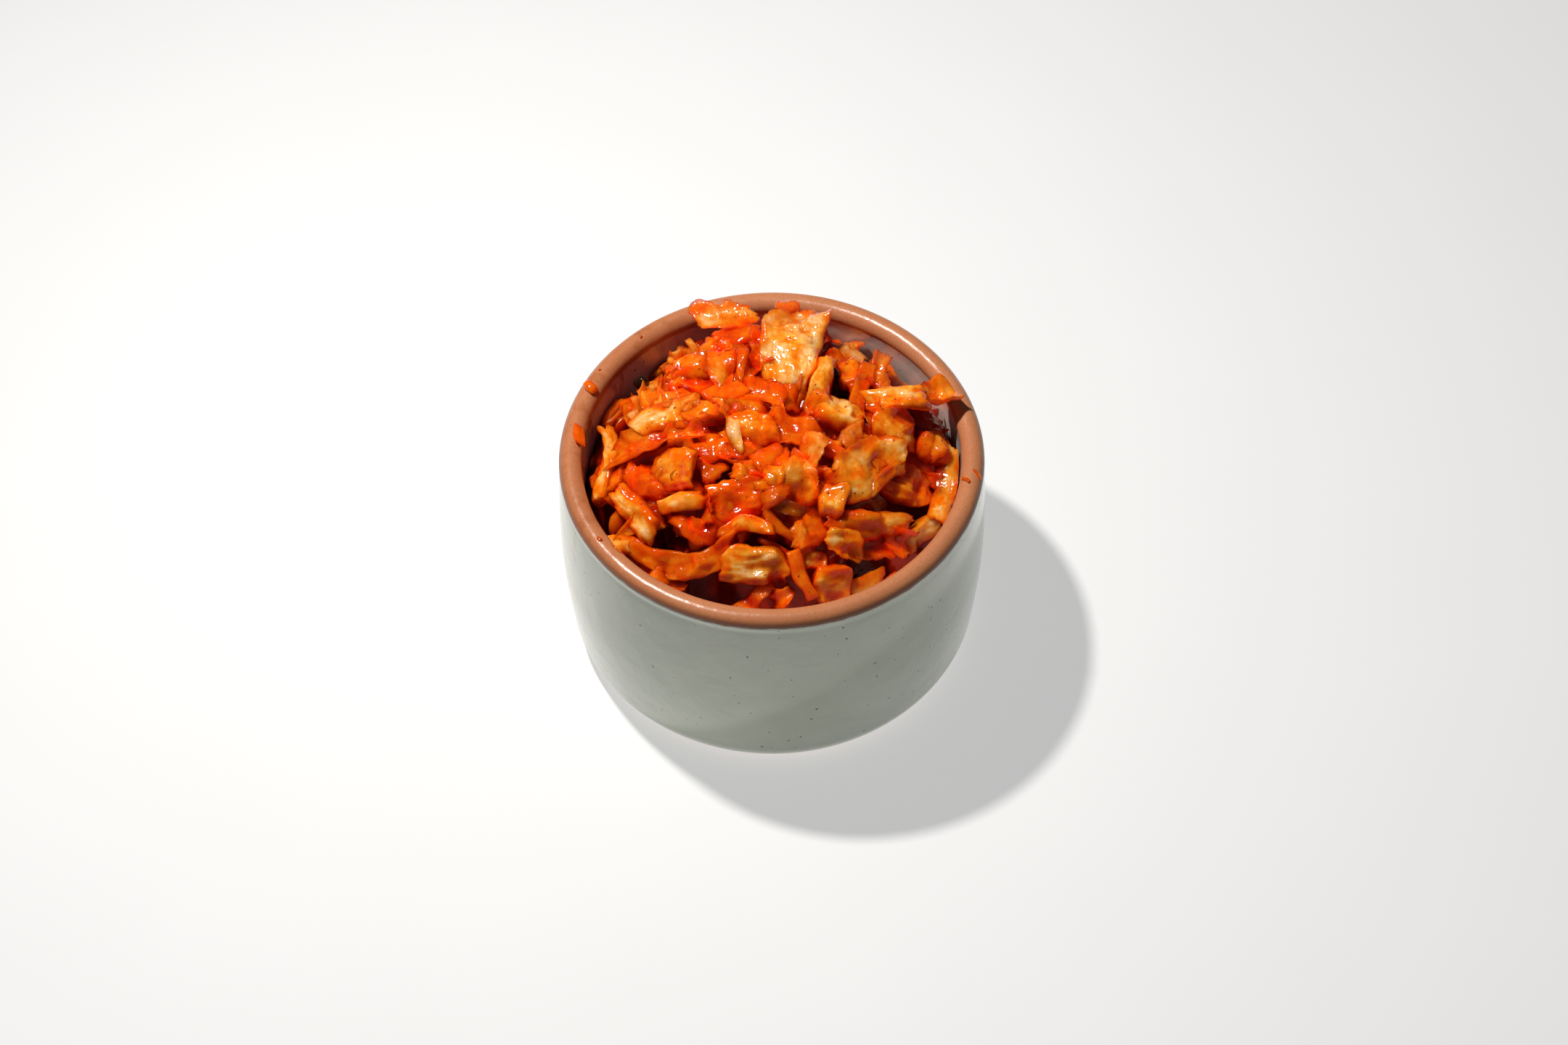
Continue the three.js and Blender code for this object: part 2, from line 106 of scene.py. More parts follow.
# ---- the pieces that show -----------------------------------------------------------------------
# kind, x and y of the middle, lift above the heap's surface, heading (0 is +X), pitch and roll
# against that surface, length, width, thickness, arch along the length, bow sideways, taper, look
SHOWING = [
    # back: the tall stem and what leans on it
    ("slab", 4, 21.5, 3, 84, 25, 0, 27, 13, 3.2, 1.5, 0, 0.5, "cream"),
    ("leaf", 3, 36, 10.6, 20, 0, 30, 7, 5, 1.2, 0, 0, 0, "deep"),
    ("leaf", -2, 24.5, 5, 73, 22, 8, 12, 6.5, 1.6, 0.5, 0, 0, "orange"),
    ("rod", 11, 12.5, 2.5, 76, 10, 0, 21, 4.6, 4, 1, 0, 0, "pale"),
    ("leaf", 15, 23, 3, 17, 0, 10, 8.5, 6.5, 1.4, 0.8, 0, 0, "orange"),
    ("leaf", -10.4, 34, 7.2, 12, 0, 35, 15.5, 6.5, 1.5, 1, 0, 0, "pale"),
    ("leaf", -9, 29, 4, -10, 0, 25, 11, 6.5, 1.6, 1, 0, 0, "deep"),
    ("stick", -18, 26.6, 3.2, 131, 63, 0, 7, 2.4, 1.3, 0.4, 0, 0, "amber"),
    ("rod", -15, 28, 2.3, 27, 0, 0, 10, 3.6, 3, 0, 0, 0, "pale"),
    ("lump", -21.5, 30, 0, -20, 0, 0, 6, 4, 3.4, 0, 0, 0, "pink"),
    ("lump", -18.5, 21, 1, -15, 0, 0, 10, 8.5, 5.5, 0, 0, 0, "orange"),
    ("leaf", -12, 27, 2.4, 16, 0, 15, 9, 7, 1.6, 0.8, 0, 0, "amber"),
    ("leaf", -12, 18.5, 2, 73, 0, 8, 11, 6.5, 1.6, 0.8, 0, 0, "amber"),
    ("stick", -10, 11.5, 0.9, 39, 0, 0, 9.5, 8, 2.8, 0, 0, 0, "carrot"),
    ("stick", -7, 20.7, 2.6, 96, 6, 0, 15, 2.6, 1.4, 1, 0.8, 0, "amber"),
    ("leaf", -4.4, 18, 1.5, 77, 0, 0, 10, 5.5, 1.3, 0.5, 0, 0, "clear"),
    # back right: the chunks beside the pocket
    ("lump", 19.5, 19.5, 0.8, 28, 0, 0, 11.5, 9, 6, 0, 0, 0, "amber"),
    ("stick", 20.5, 14, 2.4, 76, 14, 0, 18, 4, 1.6, 0.8, 0, 0.2, "orange"),
    ("leaf", 24, 21.5, 3, 77, 35, 0, 9, 4, 1.3, 0, 0, 0, "orange"),
    ("leaf", 28, 23, -0.4, 30, 0, 0, 10, 5.5, 1.6, 0.5, 0, 0, "olive"),
    ("leaf", 15, 18.5, -1.2, -2, 0, 0, 7, 4.5, 1.4, 0, 0, 0, "olive"),
    # right: the long piece that reaches over the rim and the slab under it
    ("rod", 26.3, 9.2, 4.6, 3, 34, 0, 14, 7.4, 4.6, 0.5, 0, 0, "pale"),
    ("leaf", 36.8, 11, 11.4, 17, 36, -8, 13, 7.5, 3, 1.2, 0, 0, "clear"),
    ("slab", 27, 3.6, 2.6, -20, 0, 24, 12.5, 9, 2.2, 0.5, 0, 0, "amber"),
    ("lump", 35.3, 3.8, 1.2, 0, 0, 0, 10, 9, 6, 0, 0, 0, "deep"),
    ("rod", 39, 8, -0.6, -80, 0, 0, 7, 2.6, 2.6, 0, 0, 0, "brown"),
    ("lump", 28.8, -9, -0.6, -5, 0, 0, 16, 12, 7.5, 0, 0, 0, "deep"),
    ("stick", 25.7, -10, 4, 40, 6, 14, 12, 3.5, 2.2, 0.3, 0, 0, "clear"),
    ("stick", 38.8, -8, 4.4, -103, 0, 58, 25, 7, 2, -1.6, 0, 0.3, "clear"),
    ("rod", 32.7, -19, 1.6, 37, 0, 0, 12, 5.5, 4.2, 0.5, 0, 0, "pale"),
    # middle
    ("slab", 23, -7.6, 3, 35, 6, 6, 26, 10, 2.6, 1.2, 0, -0.4, "pink"),
    ("rod", 10, -4.3, 0.2, -4, 0, 0, 9.5, 4.4, 3.6, 0, 0, 0, "pink"),
    ("leaf", 5, 1, 0.9, -3, 0, 12, 14, 8, 1.6, 1, 0, 0, "orange"),
    ("lump", 15, 5, 0.9, -8, 0, 0, 9.5, 8, 5.5, 0, 0, 0, "pale"),
    ("rod", 13, -4, 2.2, -42, 6, 0, 9, 2.4, 2.2, 0.6, 0.5, 0, "amber"),
    ("leaf", 5, -12, 1.4, 0, 0, 10, 16, 10, 1.8, 1.2, 0, 0, "clear"),
    ("lump", 13, -16.6, 2, 88, 0, 0, 9, 6.6, 4.5, 0, 0, 0, "amber"),
    ("leaf", -6, 6, 0.8, 4, -4, 12, 13, 8, 1.6, 1, 0, 0, "amber"),
    ("slab", -4, -1, 1.4, 2, 5, 8, 12, 9, 3.8, 0.5, 0, 0, "amber"),
    ("rod", -8, -1.5, 2.6, -75, 0, 0, 8, 2.6, 2.4, 0.5, 1, 0, "pale"),
    ("leaf", -8, -4.5, 0.8, 3, 0, 0, 14, 6, 1.6, 0.8, 0, 0, "orange"),
    ("lump", -3, -11, 0.9, 0, 0, 0, 11, 8, 5.5, 0, 0, 0, "orange"),
    ("leaf", -14, -8, -0.5, -27, 0, 0, 9, 6, 1.4, 0.8, 0, 0, "brown"),
    ("slab", -8, -17, 1.2, 0, -4, 10, 13, 11, 4, 0.6, 0, 0, "red"),
    ("rod", -6, -23, 1.8, 6, 0, 0, 12, 3.6, 3.4, 0, -1.5, 0, "pale"),
    ("leaf", 3, -18.3, 1.8, -21, 0, 18, 12, 3.2, 1.2, 1.4, 0.6, 0, "olive"),
    ("leaf", -16, -19.5, 0, -60, 0, 10, 10, 9, 1.4, 2, 0, 0, "brown"),
    # left
    ("lump", -15, 6, 0.9, 8, 0, 0, 11, 7.5, 5.5, 0, 0, 0, "orange"),
    ("slab", -23.7, 6, 1.4, 8, -4, 8, 16, 8, 2.8, 1, 0, 0, "pale"),
    ("leaf", -24.7, 0.5, 1.4, -2, 3, 0, 21, 8, 2, 1, 0, -0.4, "clear"),
    ("slab", -21.8, -8.6, 2, 5, 6, 8, 12, 9, 2.4, 0.4, 0, 0, "clear"),
    ("leaf", -27, -9, 0.2, 6, 0, 12, 12, 10, 1.6, 1, 0, 0, "deep"),
    ("rod", -20.8, -16, 1.8, 1, 4, 0, 9.5, 4, 3.8, 0, 0, 0, "pale"),
    ("rod", -30, -15.6, 2, -58, 0, 0, 17, 6.6, 5.6, 0.8, 0, 0, "pink"),
    ("rod", -37.5, 1, 1.3, -98, 0, 0, 20, 5, 3.6, 0.6, -2.5, 0, "pale"),
    ("lump", -36.3, -3.8, 0.8, 3, 0, 0, 10, 6, 4.5, 0, 0, 0, "pink"),
    ("leaf", -39.5, 0, 1.2, 30, 0, 0, 7, 5, 1.3, 0, 0, 0, "brown"),
    ("rod", -26.5, 16.4, 1.7, 104, 10, 0, 14, 6.6, 4, 0.5, 0, 0, "pale"),
    ("leaf", -32.6, 15.3, 1.2, 103, 14, -8, 12, 8, 1.8, 1, 0, 0, "deep"),
    ("drop", -30.2, 20.4, 4, 7, 0, 0, 3.4, 3.2, 3, 0, 0, 0, "black"),
    ("leaf", -22.7, 17, 0.2, 9, 0, 0, 10, 6, 1.5, 0.6, 0, 0, "orange"),
    ("leaf", -18, 14.8, -0.6, 9, 0, 0, 10, 6, 1.6, 0.5, 0, 0, "red"),
    # front
    ("rod", -32.8, -20.5, 1.6, -17, 0, 0, 12, 5.6, 4.2, 0, 0, 0, "pale"),
    ("stick", -20, -26, 1.4, 2, 0, 14, 25, 6, 1.8, 1, 5, -0.3, "orange"),
    ("leaf", -25, -28.5, 0, 3, 0, 0, 12, 6, 1.5, 0.5, 0, 0, "deep"),
    ("slab", -4, -30.4, 1.8, -2, 0, 8, 14, 9.5, 4.2, 0.4, 0, 0, "pink"),
    ("leaf", -5, -37.5, -0.4, 0, 0, 14, 8, 4, 1.8, 0, 0, 0, "orange"),
    ("stick", 3, -23.2, 1.4, -41, 0, 24, 11, 2.4, 1.4, 0.6, 1, 0, "amber"),
    ("stick", 2, -26.7, 0.2, -21, 0, 24, 10, 2.4, 1.4, 0.6, 0.8, 0, "brown"),
    ("leaf", 8, -26.2, 1.4, 60, 0, 20, 9, 4.5, 1.4, 0.6, 0, 0, "orange"),
    ("stick", 6.5, -32.4, 3.2, -68, 0, 0, 12, 3.4, 2.2, 0, 0, 0, "carrot"),
    ("rod", 9, -28.4, 0.9, -1, 0, 0, 7, 4, 3.4, 0, 0, 0, "pink"),
    ("slab", 14, -32.6, 1.4, -2, 0, 0, 10, 9, 4, 0, 0, 0, "clear"),
    ("leaf", 2, -35.5, 0, 35, 14, 0, 7, 4.4, 1.8, 0, 0, 0, "pale"),
    ("leaf", 20, -31.8, 0.9, 18, 0, 0, 8, 4, 1.5, 0.5, 0, 0, "amber"),
    ("leaf", 21, -19.4, 2, -3, 0, 10, 16, 8.5, 2, 0.8, 0, -0.4, "amber"),
    ("lump", 16, -25, 2, -3, 0, 0, 11, 7.4, 5.6, 0, 0, 0, "pale"),
    ("leaf", 23, -24, 0.4, -3, 0, 0, 8, 5, 1.5, 0, 0, 0, "brown"),
    ("lump", 26, -29, 0, 40, 0, 0, 6, 4, 3.5, 0, 0, 0, "pink"),
    ("leaf", 27, -22.5, 0.5, -3, 0, 0, 9, 7, 1.6, 0.5, 0, 0, "deep"),
    # beside the tall stem
    ("drop", 14.6, 17, 3, 7, 0, 0, 2.6, 2.2, 2.2, 0, 0, 0, "black"),
    # under the piece that reaches over the rim
    ("lump", 36, 9.5, 2, 20, 0, 0, 10, 7.5, 5.5, 0, 0, 0, "orange"),
    ("leaf", 32, 13, 2.4, 70, 0, 20, 9, 5.5, 1.6, 1, 0, 0, "clear"),
    ("leaf", 37.5, 3.5, 4.4, -70, 0, 26, 9, 5, 1.6, 0.8, 0, 0, "amber"),
]

# ---- colours ------------------------------------------------------------------------------------
def paint(red, green, blue):
    """A colour as a painter's chart gives it, 0 to 255, turned into light by the sRGB curve."""
    chart = np.array((red, green, blue)) / 255
    return np.where(chart <= 0.04045, chart / 12.92, ((chart + 0.055) / 1.055) ** 2.4)


CELADON = paint(182, 188, 170)
CELADON_DEEP = paint(172, 180, 160)
TANNED_GLAZE = paint(206, 176, 128)
INNER_GLAZE = paint(228, 214, 202)
SPECK = paint(46, 38, 32)
BARE_CLAY = paint(214, 140, 96)
BARE_CLAY_DARK = paint(184, 108, 68)
CLAY_DARKER_UNDER_CREST = paint(122, 74, 50)
DRIED_SAUCE = paint(160, 80, 24)

FLESH = paint(255, 214, 168)
CARROT_FLESH = paint(255, 150, 40)
LEAF_GREEN = paint(168, 128, 30)
BLACK_SKIN = paint(40, 24, 18)
# Painted shade: the red-black that deep places and crevices are darkened to
PAINTED_GAP_SHADE = paint(64, 0, 0)
CHILLI_DUST = paint(214, 76, 16)
CHILLI_FLAKE = paint(196, 36, 4)
CHILLI_FLAKE_PALE = paint(226, 84, 10)

WET = 0.96  # how bright a wet surface is against the same one dry
SAUCE_TAKES = np.array((0.05, 1, 4.2))  # how fast red, green and blue fade as sauce soaks in
LEAST_SAUCE = 0.1

# look: flesh, how much sauce has soaked into the crown and into the edges, how wide the edge's
# colour is, how much more there is in blotches
LOOKS = {
    "cream": (FLESH, -0.35, 0.9, 0.6, 0.8),
    "pale": (FLESH, 0.05, 1.4, 0.8, 0.8),
    "pink": (FLESH, 0.2, 1.4, 0.8, 0.7),
    "clear": (FLESH, 0.5, 1.5, 0.9, 0.6),
    "amber": (FLESH, 0.65, 1.5, 0.9, 0.5),
    "veil": (FLESH, 0.42, 0.85, 0.9, 0.6),
    "orange": (FLESH, 0.9, 1.55, 1, 0.5),
    "deep": (FLESH, 1.15, 1.7, 1, 0.4),
    "red": (FLESH, 1.5, 1.9, 1, 0.4),
    "brown": (WET * FLESH, 1.4, 2, 1, 0.4),
    "olive": (LEAF_GREEN, 0.2, 0.9, 0.6, 0.8),
    "carrot": (CARROT_FLESH, 0.6, 0.9, 0.4, 0.2),
    "black": (BLACK_SKIN, 0, 0, 0.3, 0),
}

# ---- seeded unevenness --------------------------------------------------------------------------
LATTICE_WAVES = np.array((127.1, 311.7, 74.7))
LATTICE_SPREAD = 43758.5453
SEED_SHIFT = 53.3


def lattice(cell, seed):
    """A fixed number from 0 to 1 for each cell of a lattice."""
    mixed = np.sin(cell @ LATTICE_WAVES + SEED_SHIFT * seed) * LATTICE_SPREAD
    return mixed - np.floor(mixed)


def noise(points, seed):
    """Smooth uneven numbers from -1 to 1, with hills about one unit apart."""
    cell = np.floor(points)
    part = points - cell
    ease = part * part * (3 - 2 * part)
    total = np.zeros(len(points))
    for corner in np.ndindex(2, 2, 2):
        share = np.prod(np.where(corner, ease, 1 - ease), axis=1)
        total += share * lattice(cell + corner, seed)
    return 2 * total - 1


def fractal(points, seed, octaves=3):
    """Noise with finer and lower noise on top."""
    total = np.zeros(len(points))
    for octave in range(octaves):
        total += noise(points * 2**octave, seed + octave) / 2**octave
    return total


def smooth(value, low, high):
    """0 below the low value and 1 above the high one, with an even change between."""
    share = np.clip((value - low) / (high - low), 0, 1)
    return share * share * (3 - 2 * share)


def mix(a, b, share):
    return a + (b - a) * np.asarray(share)[..., None]


# ---- the heap -----------------------------------------------------------------------------------
def heap_top(x, y):
    """How high the heap's surface stands: it falls to the wall, and most at the free pocket."""
    angle = np.arctan2(y, x)
    back = np.sin(angle)
    off_pocket = (np.degrees(angle) - POCKET_ANGLE) / POCKET_WIDTH
    edge = HEAP_EDGE_DROP - HEAP_EDGE_LEAN * back + POCKET_DROP * np.exp(-off_pocket**2)
    reach = (np.hypot(x, y) / ROOM_RADIUS) ** (HEAP_ROUNDNESS + HEAP_ROUNDNESS_LEAN * back)
    return BOWL_HEIGHT + HEAP_CREST - (HEAP_CREST + edge) * reach


def heap_normal(x, y):
    """The direction that the heap's surface faces."""
    slope_x = heap_top(x + 1, y) - heap_top(x - 1, y)
    slope_y = heap_top(x, y + 1) - heap_top(x, y - 1)
    return Vector((-slope_x, -slope_y, 2)).normalized()


def axes_on(up, heading):
    """The directions ahead, aside and up of a piece that lies on a surface, heading in degrees."""
    ahead = Vector((math.cos(math.radians(heading)), math.sin(math.radians(heading)), 0))
    ahead = (ahead - up * ahead.dot(up)).normalized()
    return ahead, up.cross(ahead), up


def room_radius(z):
    """The inside of the bowl at a height; above the rim nothing is in the way."""
    over_bead = np.clip(z - BEAD_HEIGHT, 0, BEAD_RADIUS)
    bead = BEAD_MIDDLE - np.sqrt(BEAD_RADIUS**2 - over_bead**2)
    inside = np.where(z > BEAD_HEIGHT, bead, ROOM_RADIUS)
    return np.where(z > BOWL_HEIGHT, np.inf, inside)


def keep_inside(points):
    """Presses what would cross the bowl's wall against it."""
    reach = np.hypot(points[:, 0], points[:, 1])
    most = room_radius(points[:, 2]) - FIT_GAP
    points[:, :2] *= np.minimum(1, most / np.maximum(reach, 1e-6))[:, None]


# ---- the forms a cut piece takes ----------------------------------------------------------------
# round: 0 keeps square ends and 1 makes an oval; along and across: how late the piece thins
# towards its edges; skew: uneven corners; rag: torn edge; crumple: waves; crease: sharp folds;
# cup: curled sides; ribs: ridges along it; thin: share of the stated thickness; frill: how much of
# that a side loses as the stem turns into leaf; cuts: flat sides that the knife left; slant: how
# far those lean over, from upright 0 to level 1
FORMS = {
    "leaf": dict(round=0.8, along=22, across=18, skew=0.5, rag=0.38, crumple=0.8, crease=1.3,
                 cup=0.32, ribs=0.1, thin=0.45, frill=0.4, cuts=1, slant=0),
    "slab": dict(round=0.5, along=14, across=10, skew=0.26, rag=0.2, crumple=0.7, crease=1.1,
                 cup=0.05, ribs=0.18, thin=0.75, frill=0.7, cuts=2, slant=0.2),
    "stick": dict(round=0.4, along=20, across=12, skew=0.3, rag=0.2, crumple=0.5, crease=0.9,
                  cup=0.12, ribs=0.1, thin=0.65, frill=0.4, cuts=1, slant=0.1),
    "rod": dict(round=0.3, along=14, across=7, skew=0.3, rag=0.24, crumple=0.7, crease=0.9,
                cup=0.1, ribs=0.25, thin=0.72, frill=0.7, cuts=2, slant=0.35),
    "lump": dict(round=0.6, along=7, across=6, skew=0.36, rag=0.26, crumple=0.8, crease=1.5,
                 cup=0, ribs=0.25, thin=0.7, frill=0.7, cuts=3, slant=0.5),
    "veil": dict(round=0.9, along=26, across=22, skew=0.5, rag=0.36, crumple=0.9, crease=1.7,
                 cup=0.25, ribs=0.05, thin=0.4, frill=0.5, cuts=0, slant=0),
    "drop": dict(round=1, along=3, across=3, skew=0.2, rag=0.12, crumple=0.2, crease=0,
                 cup=0, ribs=0, thin=1, frill=0, cuts=0, slant=0),
    "strip": dict(round=0.06, along=24, across=20, skew=0.03, rag=0.02, crumple=0.05, crease=0,
                  cup=0, ribs=0.03, thin=1, frill=0, cuts=0, slant=0),
}
ROWS = (8, 64)  # the fewest and the most points along a piece
COLUMNS = (6, 40)  # and across it
CORNERS = ((-1, -1), (-1, 1), (1, -1), (1, 1))
SHOWING_STEP = 0.45  # millimetres between the points of a piece that shows
FILLING_STEP = 0.6
CRUMB_STEP = 0.3

# How closely a piece's hills lie, in hills for each millimetre
WAVES = 0.2
FOLDS = 0.17
FINE_FOLDS = 0.45
WANDER = 0.3  # the frilled side and the ribs
BUMPS = 0.5

TEARS = 1.4  # hills for each radian round the edge
FINE_TEARS = 4.2  # how many times closer than those
FRILL_TEARS = 8

FINE_FOLD_SHARE = 0.3  # how high fine folds are against the others
FINE_TEAR_SHARE = 0.3
BUMP_HEIGHT = 0.15
FULLY_WAVY = 7  # the width from which a piece takes its whole waves
RIB_SPACING = 1.6


def spread(count, power):
    """Places from -1 to 1, closer together towards the ends, the more the rounder the piece is."""
    even = np.linspace(-1, 1, count)
    crowd = 1 / (1 + 0.12 * power)
    return (1 - crowd) * even + crowd * np.sin(even * math.pi / 2)


def quads_of(number):
    """The faces between a grid of numbered points."""
    corners = (number[:-1, :-1], number[1:, :-1], number[1:, 1:], number[:-1, 1:])
    return np.stack(corners, axis=-1).reshape(-1, 4)


def rounded(form, u, v, random):
    """Where a square sheet's points go as it is rounded and its corners are pulled out of true."""
    roundness = form["round"] * random.uniform(0.3, 1)
    x = u * np.sqrt(1 - roundness * v**2 / 2)
    y = v * np.sqrt(1 - roundness * u**2 / 2)
    for corner_u, corner_v in CORNERS:
        pull = random.uniform(-1, 1, 2) * form["skew"]
        near = (1 + corner_u * u) * (1 + corner_v * v) / 4
        x = x + near * pull[0] * corner_u
        y = y + near * pull[1] * corner_v
    return x, y


def torn(u, v, frill, seed):
    """How far the edge stands out or in, all round a piece."""
    turn = np.arctan2(v, u)
    round_edge = np.stack((TEARS * np.cos(turn), TEARS * np.sin(turn), np.full(len(u), 0.5)), axis=1)
    tears = noise(round_edge, seed) + FINE_TEAR_SHARE * noise(FINE_TEARS * round_edge, seed + 1)
    return tears + frill * FINE_TEAR_SHARE * noise(FRILL_TEARS * round_edge, seed + 7)


def folded(form, flat, small, seed):
    """How high a piece's middle stands as it waves and folds."""
    wave = form["crumple"] * small * fractal(WAVES * flat, seed + 2, 2)
    wave += form["crease"] * small * (0.5 - abs(fractal(FOLDS * flat, seed + 3, 2)))
    wave += FINE_FOLD_SHARE * form["crease"] * small * (0.4 - abs(noise(FINE_FOLDS * flat, seed + 9)))
    return wave


def cut_piece(form, length, width, thick, seed, step):
    """A closed uneven piece along X: its points, faces, depth and how far in each point is."""
    rows = int(np.clip(length / step, *ROWS))
    columns = int(np.clip(width / step, *COLUMNS))
    u, v = np.meshgrid(spread(rows, form["along"]), spread(columns, form["across"]), indexing="ij")
    u, v = u.ravel(), v.ravel()
    random = np.random.default_rng(seed)
    x, y = rounded(form, u, v, random)
    flat = np.stack((x * length / 2, y * width / 2, np.zeros(len(x))), axis=1)
    leafward = random.uniform(0, 2 * math.pi)
    towards_leaf = u * math.cos(leafward) + v * math.sin(leafward)
    frill = smooth(towards_leaf + 0.4 * noise(WANDER * flat, seed + 6), 0, 0.7)
    grow = 1 + form["rag"] * np.maximum(abs(u), abs(v)) ** 3 * torn(u, v, frill, seed)
    x, y = x * grow * length / 2, y * grow * width / 2
    edge = np.sqrt((1 - abs(u) ** form["along"]) * (1 - abs(v) ** form["across"]))
    body = edge * (1 - form["frill"] * frill)
    curl = random.uniform(0.4, 1) * random.choice((-1, 1))
    wave = folded(form, flat, min(1, width / FULLY_WAVY) * (1 + frill), seed)
    middle = wave + form["cup"] * curl * width * (v**2 - 0.35)
    half = thick * form["thin"] / 2 * body
    across = y / RIB_SPACING + 0.8 * noise(WANDER * flat, seed + 4)
    ribs = form["ribs"] * np.sin(2 * math.pi * across)
    sides = []
    deep = []
    for side in (1, -1):
        uneven = BUMP_HEIGHT * form["crumple"] * fractal(BUMPS * flat + 5 * side, seed + 5, 2)
        sides.append(middle + side * (half * (1 + 0.2 * uneven) + (ribs + 0.5 * uneven) * body**2))
        deep.append(2 * half + (0.5 * ribs + 0.4 * uneven + 0.25 * wave) * edge)
    number = np.arange(rows * columns).reshape(rows, columns)
    inner = number[1:-1, 1:-1].ravel()
    under = number.copy()
    under[1:-1, 1:-1] = len(x) + np.arange(len(inner)).reshape(rows - 2, columns - 2)
    faces = np.concatenate((quads_of(number), quads_of(under)[:, ::-1]))
    points = np.concatenate((
        np.stack((x, y, sides[0]), axis=1),
        np.stack((x[inner], y[inner], sides[1][inner]), axis=1),
    ))
    knife_cuts(points, form, random)
    inset = np.minimum((1 - abs(u)) * length / 2, (1 - abs(v)) * width / 2)
    deep = np.concatenate((deep[0], deep[1][inner]))
    return points, faces, deep, np.concatenate((inset, inset[inner]))


def knife_cuts(points, form, random):
    """Flattens what lies past a few planes, as a knife leaves straight sides on a chopped piece."""
    for _ in range(form["cuts"]):
        turn = random.uniform(0, 2 * math.pi)
        lean = form["slant"] * random.uniform(0, 1) * math.pi / 2
        out = math.cos(lean)
        face = np.array((math.cos(turn) * out, math.sin(turn) * out, math.sin(lean)))
        reach = points @ face
        past = np.maximum(reach - reach.max() * random.uniform(0.8, 0.96), 0)
        points -= past[:, None] * face


# ---- how sauce, painted light and painted shade colour a piece ----------------------------------
# How closely stains lie, in hills for each millimetre
STAINS = 0.3
FINE_STAINS = 1.1
HEARTS = 0.22
STREAKS = (0.3, 1.3, 1.3)
GRAINWISE = np.array((0.5, 1, 1))  # stains run along a piece

WIDEST_BORDER = 3.6  # how far in from its edge a piece takes the edge's colour
STREAK_SAUCE = 0.25
CLEAREST = 0.55  # how solid the thinnest edge of a piece looks
SOLID_FROM = 1.6  # the thickness from which it looks solid

# How much more sauce there is at some places of the whole heap: in patches, and on sides, in hollows
# and (less) on tops as painted shade and painted light
IN_PATCHES = 0.4
SIDE_PAINTED_SHADE = 0.7
HOLLOW_PAINTED_SHADE = 1.5
TOP_PAINTED_LIGHT = -0.35
PATCH_SIZE = 5
DEEPEST_PAINTED_SHADE = 0.9  # how far painted shade takes the deepest gaps to their red-black


def stained(look, points, deep, inset, wide, seed):
    """A piece's flesh, how solid it looks, and how much sauce is in it: least at the crown."""
    flesh, crown, rim, border, stain = LOOKS[look]
    lengthwise = STAINS * points * GRAINWISE
    broad = fractal(lengthwise, seed + 8, 2)
    fine = noise(FINE_STAINS * points, seed + 11)
    reach = border * min(WIDEST_BORDER, 0.48 * wide)
    heart = smooth(inset + 1.2 * broad + 0.3 * fine, 0, 0.3 + reach)
    heart *= 0.6 + 0.4 * smooth(noise(HEARTS * points, seed + 15), -0.5, 0.4)
    blotch = smooth(fractal(lengthwise, seed + 12, 2) + 0.3 * fine, -0.2, 0.7)
    streak = noise(points * STREAKS, seed + 14)
    sauce = rim + (crown - rim) * heart + stain * blotch + STREAK_SAUCE * (fine + streak)
    solid = CLEAREST + (1 - CLEAREST) * smooth(deep, 0.1, SOLID_FROM)
    return np.column_stack((np.tile(flesh, (len(points), 1)), solid, sauce))


def point_normals(points, faces):
    """Which way each point of a mesh of quads faces."""
    a, b, c, d = (points[faces[:, i]] for i in range(4))
    across = np.cross(c - a, d - b)
    total = np.stack([
        np.bincount(faces.ravel(), np.repeat(across[:, axis], 4), len(points)) for axis in range(3)
    ], axis=1)
    return total / np.maximum(np.linalg.norm(total, axis=1), 1e-9)[:, None]


def filmed(tint):
    """The colour of flesh once its sauce has taken its share of the light, and how solid it looks."""
    colour = WET * tint[:, :3] * np.exp(-SAUCE_TAKES * np.maximum(tint[:, 4:5], LEAST_SAUCE))
    return np.column_stack((colour, tint[:, 3]))


def soaked_and_shaded(points, normals, tint, relief):
    """Sauce in patches, plus painted light and shade: more sauce on sides and in hollows, less on tops,
    and red-black deep down and by the wall.
    """
    # Painted shade: sides that face away from the light from above take more sauce, so they come out
    # redder and darker
    side = 1 - smooth(normals[:, 2], 0.15, 0.9)
    patch = smooth(fractal(points / PATCH_SIZE, 500, 3), 0, 1.2)
    tint = tint.copy()
    tint[:, 4] += IN_PATCHES * patch + SIDE_PAINTED_SHADE * side
    # Painted shade in hollows and painted light on tops: hollows take more sauce and tops that stand
    # proud take less
    tint[:, 4] += HOLLOW_PAINTED_SHADE * smooth(-relief, 0, 1.8) + TOP_PAINTED_LIGHT * smooth(relief, 0.3, 1.5)
    # Painted shade: places deep under the heap's surface and in crevices go towards red-black
    depth = heap_top(points[:, 0], points[:, 1]) - points[:, 2]
    deep = np.maximum(smooth(depth, 0.6, 3.2), 0.6 * smooth(-relief, 0.8, 2.4))
    # Painted shade: low places at the foot of the wall, which the rim shades, go towards red-black
    reach = np.hypot(points[:, 0], points[:, 1])
    wall_shade = smooth(reach, ROOM_RADIUS - 7, ROOM_RADIUS - 1)
    wall_shade *= smooth(BOWL_HEIGHT - points[:, 2], 1, 7) * smooth(-relief, -0.5, 0.5)
    colour = filmed(tint)
    colour[:, :3] = mix(colour[:, :3], PAINTED_GAP_SHADE, DEEPEST_PAINTED_SHADE * np.maximum(deep, wall_shade))
    return colour


# ---- laying the pieces --------------------------------------------------------------------------
# All pieces sag together: the size of the bends, how far they move a point, and their seed
SAGS = ((5.5, 0.9, 600), (2.2, 0.22, 610), (1.2, 0.08, 620))
OWN_GRAIN_APART = 37  # keeps the stains of two pieces apart


def softened(points):
    """Bends all pieces together, so that each sags on the next and none keeps a clean outline."""
    moved = points.copy()
    for size, far, seed in SAGS:
        for axis in range(3):
            moved[:, axis] += far * noise(points / size, seed + axis)
    return moved


